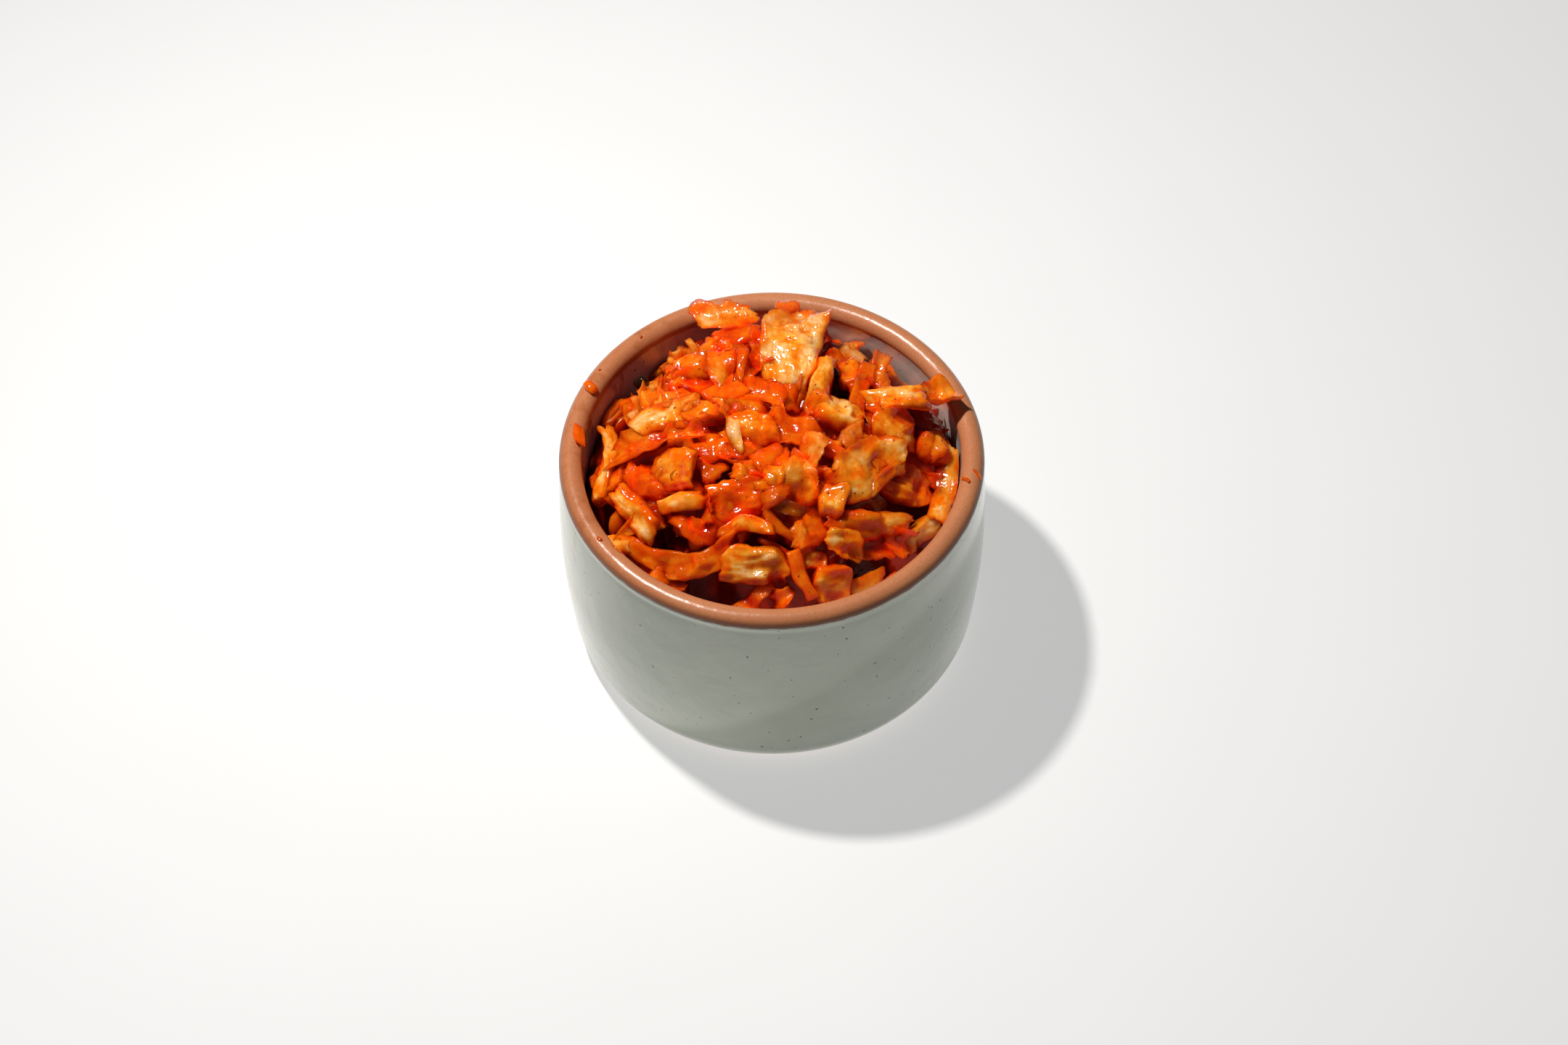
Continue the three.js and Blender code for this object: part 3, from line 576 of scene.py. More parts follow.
class Heap:
    """Pieces of one sort, gathered into one mesh with their colours and their own grain."""

    def __init__(self):
        self.points = []
        self.faces = []
        self.tints = []
        self.grains = []
        self.count = 0

    def add(self, points, faces, tint, grain):
        self.points.append(points)
        self.faces.append(faces + self.count)
        self.tints.append(tint)
        self.grains.append(grain)
        self.count += len(points)

    def soak_and_shade(self, relief):
        """Runs sauce and painted light and shade over all its pieces, given how high places stand over
        the heap around them.
        """
        first = np.cumsum([0] + [len(p) for p in self.points])
        pieces = zip(self.points, self.faces, first, self.tints)
        self.tints = [soaked_and_shaded(p, point_normals(p, f - n), t, relief(p)) for p, f, n, t in pieces]

    def made(self, name, finish):
        parts = (self.points, self.faces, self.tints, self.grains)
        points, faces, tints, grains = (np.concatenate(part) for part in parts)
        return shaped(name, points, faces, finish, tints, grains)


def shaped(name, points, faces, finish, tint=None, grain=None):
    """A mesh object from points in millimetres."""
    mesh = bpy.data.meshes.new(name)
    mesh.from_pydata(points * METRE, [], faces)
    if tint is not None:
        colours = mesh.attributes.new("tint", "FLOAT_COLOR", "POINT")
        colours.data.foreach_set("color", np.ascontiguousarray(tint).ravel())
        grains = mesh.attributes.new("grain", "FLOAT_VECTOR", "POINT")
        grains.data.foreach_set("vector", np.ascontiguousarray(grain).ravel())
    mesh.shade_smooth()
    mesh.materials.append(finish)
    return in_scene(name, mesh)


def in_scene(name, data):
    """A new object in the scene."""
    thing = bpy.data.objects.new(name, data)
    bpy.context.scene.collection.objects.link(thing)
    return thing


def bent(row, seed, step):
    """One piece at the origin, cut, tinted and bent: its points, faces, tint and own grain."""
    kind, length, width, thick, arch, bow, taper, look = row
    form = FORMS["strip" if look == "carrot" else kind]
    points, faces, deep, inset = cut_piece(form, length, width, thick, seed, step)
    own = points + np.array((0, 0, OWN_GRAIN_APART * seed))
    tint = stained(look, own, deep, inset, min(length, width), seed)
    along = 2 * points[:, 0] / length
    points[:, 1] = points[:, 1] * (1 + 0.5 * taper * along) + bow * (along**2 - 0.5)
    points[:, 2] -= arch * (along**2 - 0.5)
    return points, faces, tint, own


def placed(points, place, axes, pitch, roll):
    """Turns a piece by its own pitch and roll, and sets it at a place along three directions."""
    turn = Matrix.Rotation(-math.radians(pitch), 3, "Y") @ Matrix.Rotation(math.radians(roll), 3, "X")
    points = points @ np.array(Matrix(axes).transposed() @ turn).T + np.array(place)
    points = softened(points)
    keep_inside(points)
    return points


def laid(row, seed, step=SHOWING_STEP):
    """One piece on the heap, as the frame's source lays it."""
    kind, x, y, lift, heading, pitch, roll, *rest = row
    points, faces, tint, own = bent((kind, *rest), seed, step)
    place = (x, y, heap_top(x, y) + lift)
    points = placed(points, place, axes_on(heap_normal(x, y), heading), pitch, roll)
    return points, faces, tint, own


SORTS = {"rod": "stem", "slab": "stem", "lump": "chunk", "stick": "shred"}


def sort_of(row):
    """Which heap a piece belongs to, by its look or its kind."""
    look = row[-1]
    if look in ("carrot", "black"):
        return look
    if look == "olive":
        return "green"
    return SORTS.get(row[0], "leaf")


# ---- small cuts that fill the hollows -----------------------------------------------------------
GOLDEN_ANGLE = math.radians(137.508)

FILLING_COUNT = 340
FILLING_REACH = 39.5
FILLING_STRAY = 1.2
FILLING_SPREAD = 77  # the seed of their places, looks and sizes
# kind: its share, its width against its length, its thickness against its width
FILLING = {
    "leaf": (0.64, 0.5, 0.22),
    "rod": (0.08, 0.34, 0.85),
    "lump": (0.05, 0.7, 0.6),
    "stick": (0.15, 0.16, 0.7),
    "slab": (0.08, 0.6, 0.36),
}
FILLING_SHARES = [share for share, _, _ in FILLING.values()]
FILLING_LOOKS = {
    "orange": 0.26,
    "deep": 0.14,
    "amber": 0.2,
    "pale": 0.1,
    "clear": 0.18,
    "red": 0.04,
    "pink": 0.06,
    "brown": 0.02,
}
WIDEST_FILLING = 8

VEIL_COUNT = 48
VEIL_REACH = 37
VEIL_STRAY = 1.5
VEIL_SPREAD = 88


def spiral(count, reach, start, stray, random):
    """Places that a spiral spreads evenly over a disc, each a little astray."""
    for i in range(count):
        radius = reach * math.sqrt((i + 0.5) / count)
        angle = GOLDEN_ANGLE * i + start
        x = radius * math.cos(angle) + random.uniform(-stray, stray)
        y = radius * math.sin(angle) + random.uniform(-stray, stray)
        yield x, y


def gap_depth(x, y):
    """How deep the gap is that a place falls in, or 0."""
    return max(
        depth * (math.hypot(x - gap_x, y - gap_y) < radius + 1) for gap_x, gap_y, radius, depth in GAPS
    )


def filling():
    """Smaller pieces, spread evenly under and between the named ones."""
    random = np.random.default_rng(FILLING_SPREAD)
    rows = []
    for x, y in spiral(FILLING_COUNT, FILLING_REACH, 0, FILLING_STRAY, random):
        kind = random.choice(list(FILLING), p=FILLING_SHARES)
        look = random.choice(list(FILLING_LOOKS), p=list(FILLING_LOOKS.values()))
        _, slender, stout = FILLING[kind]
        swell = 1.2 * noise(np.array([(x, y, 0)]) / 9, 31)[0]
        lift = random.uniform(-3.4, -0.3) + swell - 1.1 * gap_depth(x, y)
        length = random.uniform(5.5, 13)
        width = min(length * slender * random.uniform(0.7, 1.3), WIDEST_FILLING)
        thick = float(np.clip(stout * width, 1, 4))
        heading = random.uniform(0, 360)
        pitch = random.uniform(-26, 26)
        roll = random.uniform(-34, 34)
        arch = random.uniform(0.3, 2.6)
        bow = random.uniform(-1.2, 1.2)
        rows.append((kind, x, y, lift, heading, pitch, roll, length, width, thick, arch, bow, 0, look))
    return rows


def veils():
    """Thin torn leaf that lies over the other pieces and lets them show through."""
    random = np.random.default_rng(VEIL_SPREAD)
    rows = []
    for x, y in spiral(VEIL_COUNT, VEIL_REACH, 1, VEIL_STRAY, random):
        if gap_depth(x, y):
            continue
        lift = random.uniform(0.6, 2.6)
        heading = random.uniform(0, 360)
        pitch = random.uniform(-24, 24)
        roll = random.uniform(-30, 30)
        length = random.uniform(6, 11)
        width = random.uniform(4, 7.5)
        arch = random.uniform(0.3, 2)
        bow = random.uniform(-1, 1)
        look = random.choice(("veil", "veil", "amber"))
        rows.append(("veil", x, y, lift, heading, pitch, roll, length, width, 1, arch, bow, 0, look))
    return rows


def all_of(heaps):
    """Every point and face laid so far."""
    points, faces, count = [], [], 0
    for heap in heaps.values():
        points.extend(heap.points)
        faces.extend(part + count for part in heap.faces)
        count += heap.count
    return np.concatenate(points).tolist(), np.concatenate(faces).tolist()


# ---- shader and geometry nodes ------------------------------------------------------------------
class Number:
    """One number over a surface. Python's operators on it add Math nodes."""

    def __init__(self, graph, socket):
        self.graph = graph
        self.socket = socket

    def math(self, operation, *values):
        node = self.graph.add("ShaderNodeMath", {"operation": operation}, dict(enumerate(values)))
        return Number(self.graph, node.outputs[0])

    def __add__(self, other):
        return self.math("ADD", self, other)

    __radd__ = __add__

    def __sub__(self, other):
        return self.math("SUBTRACT", self, other)

    def __rsub__(self, other):
        return self.math("SUBTRACT", other, self)

    def __mul__(self, other):
        return self.math("MULTIPLY", self, other)

    __rmul__ = __mul__

    def __pow__(self, other):
        return self.math("POWER", self, other)

    def smooth(self, low, high):
        node = self.graph.add(
            "ShaderNodeMapRange",
            {"interpolation_type": "SMOOTHSTEP"},
            {"Value": self, "From Min": low, "From Max": high},
        )
        return Number(self.graph, node.outputs["Result"])

    def smooth_mm(self, low, high):
        return self.smooth(low * METRE, high * METRE)


class Graph:
    """The nodes of one material or one Geometry Nodes tree."""

    def __init__(self, tree):
        self.tree = tree

    def add(self, kind, settings=None, values=None):
        node = self.tree.nodes.new(kind)
        for name, value in (settings or {}).items():
            setattr(node, name, value)
        for key, value in (values or {}).items():
            if isinstance(value, Number):
                value = value.socket
            if isinstance(value, bpy.types.NodeSocket):
                self.tree.links.new(value, node.inputs[key])
            else:
                node.inputs[key].default_value = value
        return node

    def noise(self, place, scale, detail=2, roughness=0.5):
        values = {"Vector": place, "Scale": scale, "Detail": detail, "Roughness": roughness}
        return Number(self, self.add("ShaderNodeTexNoise", None, values).outputs["Fac"])

    def cells(self, place, scale):
        """Scattered cells: how far a place is from the nearest cell's middle, and the cell's colour."""
        cells = self.add("ShaderNodeTexVoronoi", None, {"Vector": place, "Scale": scale}).outputs
        return Number(self, cells["Distance"]), cells["Color"]

    def attribute(self, name):
        return self.add("ShaderNodeAttribute", {"attribute_name": name}).outputs

    def channels(self, colour):
        """The red, green and blue of a colour."""
        parts = self.add("ShaderNodeSeparateColor", None, {0: colour}).outputs
        return [Number(self, part) for part in parts]

    def stretched(self, place, scale):
        settings = {"operation": "MULTIPLY"}
        return self.add("ShaderNodeVectorMath", settings, {0: place, 1: scale}).outputs[0]

    def mix(self, share, a, b, blend="MIX"):
        settings = {"data_type": "RGBA", "blend_type": blend}
        a, b = (c if isinstance(c, bpy.types.NodeSocket) else (*c, 1) for c in (a, b))
        return self.add("ShaderNodeMix", settings, {0: share, 6: a, 7: b}).outputs[2]

    def bump(self, relief, strength, height):
        """The normal of a surface raised by a relief, its full height in millimetres."""
        values = {"Strength": strength, "Distance": height * METRE, "Height": relief}
        return self.add("ShaderNodeBump", None, values).outputs[0]


PER_MILLIMETRE = 1 / METRE  # a texture's scale for hills one millimetre apart


def finish_of(name):
    """A new material: its graph, and the place of each point of the piece."""
    finish = bpy.data.materials.new(name)
    finish.use_nodes = True
    finish.node_tree.nodes.clear()
    graph = Graph(finish.node_tree)
    place = graph.add("ShaderNodeTexCoord").outputs["Object"]
    return finish, graph, place


def seal(graph, values):
    """Ends a material in its one Principled shader."""
    shader = graph.add("ShaderNodeBsdfPrincipled", {"subsurface_method": "BURLEY"}, values)
    graph.add("ShaderNodeOutputMaterial", None, {"Surface": shader.outputs[0]})


# ---- the bowl's glaze and clay ------------------------------------------------------------------
# Hills for each millimetre
CLOUDS = 0.05
LINE_WAVES = 0.35
DRIPS = 0.3
SAND = 2.2
GLAZE_WAVES = 0.16
DOWNWARD = (1, 1, 0.25)  # drips run down the wall

# Millimetres
LINE_WOBBLE = 0.9  # how far the line between glaze and clay wanders
LINE_BLUR = 0.22
FOOT_BAND = (0.6, 1.1)  # up to where the clay of the foot is bare
INSIDE_BLUR = 0.5
DARKER_CLAY_BAND = (1.6, 0.3)  # how far below the crest the darker clay starts and ends
TANNED_SIDE = (-48, -41)
SAUCY_SIDE = (-38, -12)
SPLASH_DEPTH = 12  # how far below the neck sauce has splashed
GLAZE_RELIEF = 0.5

# Dark specks in the glaze: spacing, greatest size, and the share of places that have one
SPECKS = ((2.4, 0.34, 0.7), (1.6, 0.2, 0.6))

# Where a drip ran down outside the wall: its x and y, how wide it is, and between which heights
DRIP = (-44.6, -19.8)
DRIP_WIDTH = (0.3, 1.8)
DRIP_FADE = (38, 46)

# How strong a colour is where it is strongest
SPECK_SHARE = 0.9
SPLASH_SHARE = 0.7
DRIP_SHARE = 0.3
TAN_SHARE = 0.22
SAND_SHARE = 0.45
CLOUD_SHARE = 0.3
DARKER_CLAY_SHARE = 0.9


class BowlMap:
    """Numbers over the bowl that its glaze and its clay follow."""

    def __init__(self, graph, place):
        self.graph = graph
        self.place = place
        parts = graph.add("ShaderNodeSeparateXYZ", None, {"Vector": place}).outputs
        self.x, self.y, self.z = (Number(graph, part) for part in parts)
        radius = (self.x * self.x + self.y * self.y) ** 0.5
        self.inside = 1 - radius.smooth_mm(BEAD_MIDDLE - INSIDE_BLUR, BEAD_MIDDLE + INSIDE_BLUR)
        self.outside = 1 - self.inside
        self.cloud = graph.noise(place, CLOUDS * PER_MILLIMETRE, 3)
        downward = graph.stretched(place, DOWNWARD)
        self.drips = graph.noise(downward, DRIPS * PER_MILLIMETRE).smooth(0.5, 0.7)
        self.saucy = 1 - (self.x - 0.2 * self.y).smooth_mm(*SAUCY_SIDE)


def bare_places(bowl):
    """Where the clay is bare: the rim, down to an uneven line, and the foot."""
    wobble = (bowl.graph.noise(bowl.place, LINE_WAVES * PER_MILLIMETRE) - 0.5) * (LINE_WOBBLE * METRE)
    outer_line = BOWL_HEIGHT - BARE_CLAY_OUTSIDE
    inner_line = BOWL_HEIGHT - BARE_CLAY_INSIDE
    line_shift = bowl.inside * ((outer_line - inner_line) * METRE)
    rim = (bowl.z + wobble + line_shift).smooth_mm(outer_line - LINE_BLUR, outer_line + LINE_BLUR)
    foot = 1 - bowl.z.smooth_mm(*FOOT_BAND)
    return rim + foot - rim * foot


def speckled(bowl, glaze):
    """Dark specks of two sizes in a glaze."""
    for spacing, size, share in SPECKS:
        near, own = bowl.graph.cells(bowl.place, PER_MILLIMETRE / spacing)
        chance, own_size, _ = bowl.graph.channels(own)
        dot = (own_size * (size / spacing) - near).smooth(0, 0.05 / spacing)
        dot = dot * chance.smooth(1 - share, 1.001 - share)
        glaze = bowl.graph.mix(dot * SPECK_SHARE, glaze, SPECK)
    return glaze


def glaze_colour(bowl):
    """Speckled celadon outside and warm grey inside, with dried sauce, one drip and a tanned side."""
    blend = bowl.graph.mix
    glaze = blend(bowl.cloud.smooth(0.35, 0.7), CELADON, CELADON_DEEP)
    glaze = speckled(bowl, blend(bowl.inside, glaze, INNER_GLAZE))
    splashed = bowl.inside * bowl.saucy * bowl.z.smooth_mm(NECK_HEIGHT - SPLASH_DEPTH, NECK_HEIGHT)
    glaze = blend(bowl.drips * splashed * SPLASH_SHARE, glaze, DRIED_SAUCE)
    drip_x, drip_y = DRIP
    off_drip = ((bowl.x - drip_x * METRE) ** 2 + (bowl.y - drip_y * METRE) ** 2) ** 0.5
    drip = (1 - off_drip.smooth_mm(*DRIP_WIDTH)) * bowl.z.smooth_mm(*DRIP_FADE) * bowl.outside
    glaze = blend(drip * DRIP_SHARE, glaze, DRIED_SAUCE)
    tanned = (1 - bowl.x.smooth_mm(*TANNED_SIDE)) * bowl.cloud.smooth(0.3, 0.6) * bowl.outside
    return blend(tanned * TAN_SHARE, glaze, TANNED_GLAZE)


def clay_colour(bowl, sand):
    """Sandy clay, darker in a band just below the crest outside where the glaze begins, and stained
    with sauce on the left.
    """
    blend = bowl.graph.mix
    bare = blend(sand.smooth(0.4, 0.75) * SAND_SHARE, BARE_CLAY, BARE_CLAY_DARK)
    bare = blend(bowl.cloud.smooth(0.3, 0.8) * CLOUD_SHARE, bare, BARE_CLAY_DARK)
    # The clay is darker in a band just under the crest outside
    low, high = (BOWL_HEIGHT - below for below in DARKER_CLAY_BAND)
    under_crest = (1 - bowl.z.smooth_mm(low, high)) * bowl.outside
    bare = blend(under_crest * DARKER_CLAY_SHARE, bare, CLAY_DARKER_UNDER_CREST)
    return blend(bowl.saucy * (0.25 + bowl.drips * 0.3), bare, DRIED_SAUCE)


def stoneware():
    """Glazed stoneware whose clay is bare on the rim and the foot."""
    finish, graph, place = finish_of("speckled_celadon_stoneware")
    bowl = BowlMap(graph, place)
    clay = bare_places(bowl)
    sand = graph.noise(place, SAND * PER_MILLIMETRE, 3)
    relief = graph.noise(place, GLAZE_WAVES * PER_MILLIMETRE) + clay * sand * 0.12
    seal(graph, {
        "Base Color": graph.mix(clay, glaze_colour(bowl), clay_colour(bowl, sand)),
        "Roughness": 0.16 + 0.05 * bowl.cloud + clay * 0.1,
        "Normal": graph.bump(relief, 0.5, GLAZE_RELIEF),
        "Coat Weight": (1 - clay) * 0.5,
        "Coat Roughness": 0.06,
    })
    return finish


# ---- wet cabbage --------------------------------------------------------------------------------
# Hills or cells for each millimetre
MOTTLES = 0.8
DUST = 0.75
DROPS = 1.4
WET_PATCHES = 0.26
SWELLS = 0.6
FIBRE_LINES = (0.2, 1.4, 1)

SAUCE_FILM = np.exp(-0.7 * SAUCE_TAKES)  # what a thin film of sauce lets through
MOTTLE_SHARE = 0.6
DUST_SHARE = 0.7
DUST_SIZE = 0.15  # against the distance between grains
SWELL_HEIGHT = 0.6  # against the whole relief
DROP_HEIGHT = 0.45
FIBRE_HEIGHT = 0.2
SKIN_RELIEF = 0.16  # millimetres
LIGHT_REACH = 3.2  # how far light wanders inside, in millimetres
LIGHT_REACH_BY_COLOUR = (1.0, 0.7, 0.25)


def wet_cut(name, fibres=0.0, beads=1.0):
    """Wet, half-clear cabbage: its own tint, mottled, dusted with chilli, under a beaded wet skin."""
    finish, graph, place = finish_of(name)
    painted = graph.attribute("tint")
    tint = painted["Color"]
    grain = graph.attribute("grain")["Vector"]
    mottle = graph.noise(place, MOTTLES * PER_MILLIMETRE)
    lines = graph.noise(graph.stretched(grain, FIBRE_LINES), 1)
    colour = graph.mix(mottle.smooth(0.4, 0.7) * MOTTLE_SHARE, tint, SAUCE_FILM, "MULTIPLY")
    colour = graph.mix((1 - lines.smooth(0.36, 0.56)) * fibres, colour, SAUCE_FILM, "MULTIPLY")
    near, own = graph.cells(place, DUST * PER_MILLIMETRE)
    fleck = (DUST_SIZE - near).smooth(0, 0.05) * graph.channels(own)[0].smooth(0.9, 0.91)
    colour = graph.mix(fleck * DUST_SHARE, colour, CHILLI_DUST)
    dome = 1 - graph.cells(place, DROPS * PER_MILLIMETRE)[0].smooth(0, 0.55)
    patches = graph.noise(place, WET_PATCHES * PER_MILLIMETRE, 1).smooth(0.36, 0.5)
    relief = SWELL_HEIGHT * graph.noise(place, SWELLS * PER_MILLIMETRE, 1)
    relief = relief + dome * patches * (DROP_HEIGHT * beads) + lines * (FIBRE_HEIGHT * fibres)
    in_light = graph.channels(tint)[0].smooth(0.05, 0.3)
    seal(graph, {
        "Base Color": colour,
        "Roughness": 0.08 + mottle * 0.08,
        "Specular IOR Level": 0.28,
        "Normal": graph.bump(relief, 1, SKIN_RELIEF),
        "Coat Weight": (0.25 + 0.5 * patches) * in_light,
        "Coat Roughness": 0.06,
        "Coat IOR": 1.36,
        "Alpha": Number(graph, painted["Alpha"]),
        "Subsurface Weight": 1,
        "Subsurface Radius": LIGHT_REACH_BY_COLOUR,
        "Subsurface Scale": LIGHT_REACH * METRE,
    })
    return finish


def wet_grain(name, colour, other, gloss):
    """Small wet grains whose colour wanders between two."""
    finish, graph, place = finish_of(name)
    wander = graph.noise(place, 0.4 * PER_MILLIMETRE).smooth(0.35, 0.65)
    seal(graph, {
        "Base Color": graph.mix(wander, colour, other),
        "Roughness": gloss + wander * 0.1,
    })
    return finish


# ---- the bowl, turned by Geometry Nodes ---------------------------------------------------------
TURNED_SIDES = 192
WALL_PLACES = 24
ROOM_PLACES = 10
FOOT_STEPS = 16
BEAD_STEPS = 32
CORNER_STEPS = 12


def arc(middle, radius, start, end, steps):
    """Points on a circle, from one angle to another in degrees."""
    angles = np.radians(np.linspace(start, end, steps + 1))
    return [(middle[0] + radius * math.cos(a), middle[1] + radius * math.sin(a)) for a in angles]


def outer_wall_radius(z):
    """How wide the wall is at a height: it narrows below and above its belly."""
    if z < BELLY_HEIGHT:
        return BELLY_RADIUS - TAPER_BELOW * ((BELLY_HEIGHT - z) / BELLY_HEIGHT) ** 1.5
    return BELLY_RADIUS - TAPER_ABOVE * ((z - BELLY_HEIGHT) / (BOWL_HEIGHT - BELLY_HEIGHT)) ** 2


def bowl_profile():
    """Radius and height from the middle of the base round the wall to the middle of the floor."""
    foot = (outer_wall_radius(FOOT_CORNER) - FOOT_CORNER, FOOT_CORNER)
    bead = (BEAD_MIDDLE, BEAD_HEIGHT)
    corner = (ROOM_RADIUS - ROOM_CORNER, FLOOR + ROOM_CORNER)
    wall_heights = np.linspace(FOOT_CORNER, NECK_HEIGHT, WALL_PLACES)[1:]
    room_heights = np.linspace(NECK_HEIGHT - 2, corner[1] + 2, ROOM_PLACES)
    return [
        (0, FOOT_RECESS_DEPTH),
        (0.5 * FOOT_RECESS_RADIUS, FOOT_RECESS_DEPTH),
        (FOOT_RECESS_RADIUS - 0.6, FOOT_RECESS_DEPTH),
        (FOOT_RECESS_RADIUS, 0.9 * FOOT_RECESS_DEPTH),
        (FOOT_RING_INNER - 0.4, 0.1),
        (FOOT_RING_INNER, 0),
        *arc(foot, FOOT_CORNER, -90, 0, FOOT_STEPS),
        *[(outer_wall_radius(z), z) for z in wall_heights],
        *arc(bead, BEAD_RADIUS, -BEAD_OVERHANG, 180 + BEAD_OVERHANG, BEAD_STEPS),
        *[(ROOM_RADIUS, z) for z in room_heights],
        *arc(corner, ROOM_CORNER, 0, -90, CORNER_STEPS),
        (0.5 * ROOM_RADIUS, FLOOR),
        (0, FLOOR),
    ]


def new_tree(name, **inputs):
    """A Geometry Nodes tree that takes the named inputs: its graph, sockets and their names."""
    tree = bpy.data.node_groups.new(name, "GeometryNodeTree")
    names = {}
    for label, kind in inputs.items():
        socket = tree.interface.new_socket(label, in_out="INPUT", socket_type=f"NodeSocket{kind}")
        names[label] = socket.identifier
    tree.interface.new_socket("Made", in_out="OUTPUT", socket_type="NodeSocketGeometry")
    graph = Graph(tree)
    return graph, graph.add("NodeGroupInput").outputs, names


def end_tree(graph, geometry, finish):
    """Ends a tree in smooth real faces of one material."""
    even = graph.add("GeometryNodeSetShadeSmooth", None, {"Geometry": geometry})
    real = graph.add("GeometryNodeRealizeInstances", None, {"Geometry": even.outputs[0]})
    dressed = graph.add("GeometryNodeSetMaterial", None, {
        "Geometry": real.outputs[0],
        "Material": finish,
    })
    graph.add("NodeGroupOutput", None, {"Made": dressed.outputs[0]})


def turning_tree():
    """A profile swept once round the spindle, closed where it meets itself."""
    graph, given, names = new_tree(
        "turned_on_a_wheel", Profile="Geometry", Sides="Int", Spindle="Float", Finish="Material"
    )
    line = graph.add("GeometryNodeMeshToCurve", None, {"Mesh": given["Profile"]})
    wheel = graph.add("GeometryNodeCurvePrimitiveCircle", None, {
        "Resolution": given["Sides"],
        "Radius": given["Spindle"],
    })
    swept = graph.add("GeometryNodeCurveToMesh", None, {
        "Curve": wheel.outputs[0],
        "Profile Curve": line.outputs[0],
    })
    closed = graph.add("GeometryNodeMergeByDistance", None, {
        "Geometry": swept.outputs[0],
        "Distance": 1e-6,
    })
    end_tree(graph, closed.outputs[0], given["Finish"])
    return graph.tree, names


def grown(name, start, tree, inputs):
    """The plain mesh that a tree makes from an object, which it takes the place of."""
    modifier = start.modifiers.new(name, "NODES")
    modifier.node_group = tree
    for identifier, value in inputs.items():
        modifier[identifier] = value
    evaluated = start.evaluated_get(bpy.context.evaluated_depsgraph_get())
    mesh = bpy.data.meshes.new_from_object(evaluated)
    start.modifiers.clear()
    bpy.data.objects.remove(start)
    mesh.name = name
    return in_scene(name, mesh)


def face_outwards(piece):
    """Turns a closed mesh the right way round if its volume comes out negative."""
    mesh = piece.data
    mesh.calc_loop_triangles()
    points = np.array([v.co for v in mesh.vertices])
    corners = np.array([t.vertices for t in mesh.loop_triangles])
    a, b, c = (points[corners[:, i]] for i in range(3))
    if np.einsum("ij,ij->i", a, np.cross(b, c)).sum() < 0:
        mesh.flip_normals()


def turned_bowl():
    """The bowl's profile, turned once round."""
    spindle = 1 * METRE
    radius, height = np.array(bowl_profile()).T * METRE
    # A circle's sweep carries a profile's X outwards and its Y downwards
    flat = np.column_stack((radius - spindle, -height, np.zeros(len(radius))))
    line = bpy.data.meshes.new("bowl_profile")
    line.from_pydata(flat, [(i, i + 1) for i in range(len(flat) - 1)], [])
    tree, names = turning_tree()
    bowl = grown("stoneware_bowl", in_scene("bowl_profile", line), tree, {
        names["Sides"]: TURNED_SIDES,
        names["Spindle"]: spindle,
        names["Finish"]: stoneware(),
    })
    face_outwards(bowl)
    return bowl


# ---- how high things stand over a square grid ---------------------------------------------------
FIELD_STEP = 0.5
FIELD_SIDE = np.arange(-ROOM_RADIUS - 1, ROOM_RADIUS + 1, FIELD_STEP)
FIELD_X, FIELD_Y = np.meshgrid(FIELD_SIDE, FIELD_SIDE, indexing="ij")
CREVICE = 0.7  # half the width of a crevice that sauce fills
STEEPEST = 1.6  # how far sauce stands over the lowest place within a millimetre
SAUCE_BELOW = 1.8  # how far under the pieces beside it sauce stands in a crevice
SAUCE_CREST = 1.5  # the most that it stands over the heap's surface

# Lumps in the bed and in the sauce: their height, and how many lie on a millimetre
BED_LUMPS = (1.1, 0.28)
FINE_BED_LUMPS = (0.35, 1.1)
SAUCE_LUMPS = (0.25, 0.7)


def on_level(x, y):
    """The places of a grid as a list of points of height 0."""
    return np.stack((x, y, np.zeros(x.shape)), axis=-1).reshape(-1, 3)


def lumps(x, y, height_and_hills, seed, octaves):
    """Seeded lumps at the places of a grid."""
    height, hills = height_and_hills
    return height * fractal(hills * on_level(x, y), seed, octaves).reshape(x.shape)


def core_top(x, y):
    """How high the bed under the pieces stands, with its gaps and lumps."""
    top = heap_top(x, y) - CORE_DEPTH
    for gap_x, gap_y, radius, depth in GAPS:
        near = np.clip(1 - ((x - gap_x) ** 2 + (y - gap_y) ** 2) / radius**2, 0, 1)
        top = top - depth * near**0.7
    return top + (lumps(x, y, BED_LUMPS, 3, 3) + lumps(x, y, FINE_BED_LUMPS, 9, 2))


def widest(field, steps):
    """The greatest value within a number of steps around each place of a square field."""
    reach = math.ceil(steps)
    padded = np.pad(field, reach, mode="edge")
    size = len(field)
    best = field
    for i, j in np.ndindex(2 * reach + 1, 2 * reach + 1):
        if math.hypot(i - reach, j - reach) <= steps:
            best = np.maximum(best, padded[i : i + size, j : j + size])
    return best


def averaged(field, steps):
    """The mean of the square around each place of a square field."""
    padded = np.pad(field, steps, mode="edge")
    size = len(field)
    shifts = np.ndindex(2 * steps + 1, 2 * steps + 1)
    return sum(padded[i : i + size, j : j + size] for i, j in shifts) / (2 * steps + 1) ** 2


def top_field(heaps):
    """How high the pieces and the bed under them stand."""
    top = core_top(FIELD_X, FIELD_Y)
    surface = BVHTree.FromPolygons(*all_of(heaps))
    down = Vector((0, 0, -1))
    for place in np.ndindex(top.shape):
        x, y = FIELD_X[place], FIELD_Y[place]
        if math.hypot(x, y) < ROOM_RADIUS:
            hit = surface.ray_cast(Vector((x, y, 2 * BOWL_HEIGHT)), down)[0]
            if hit is not None:
                top[place] = max(top[place], hit.z)
    return top


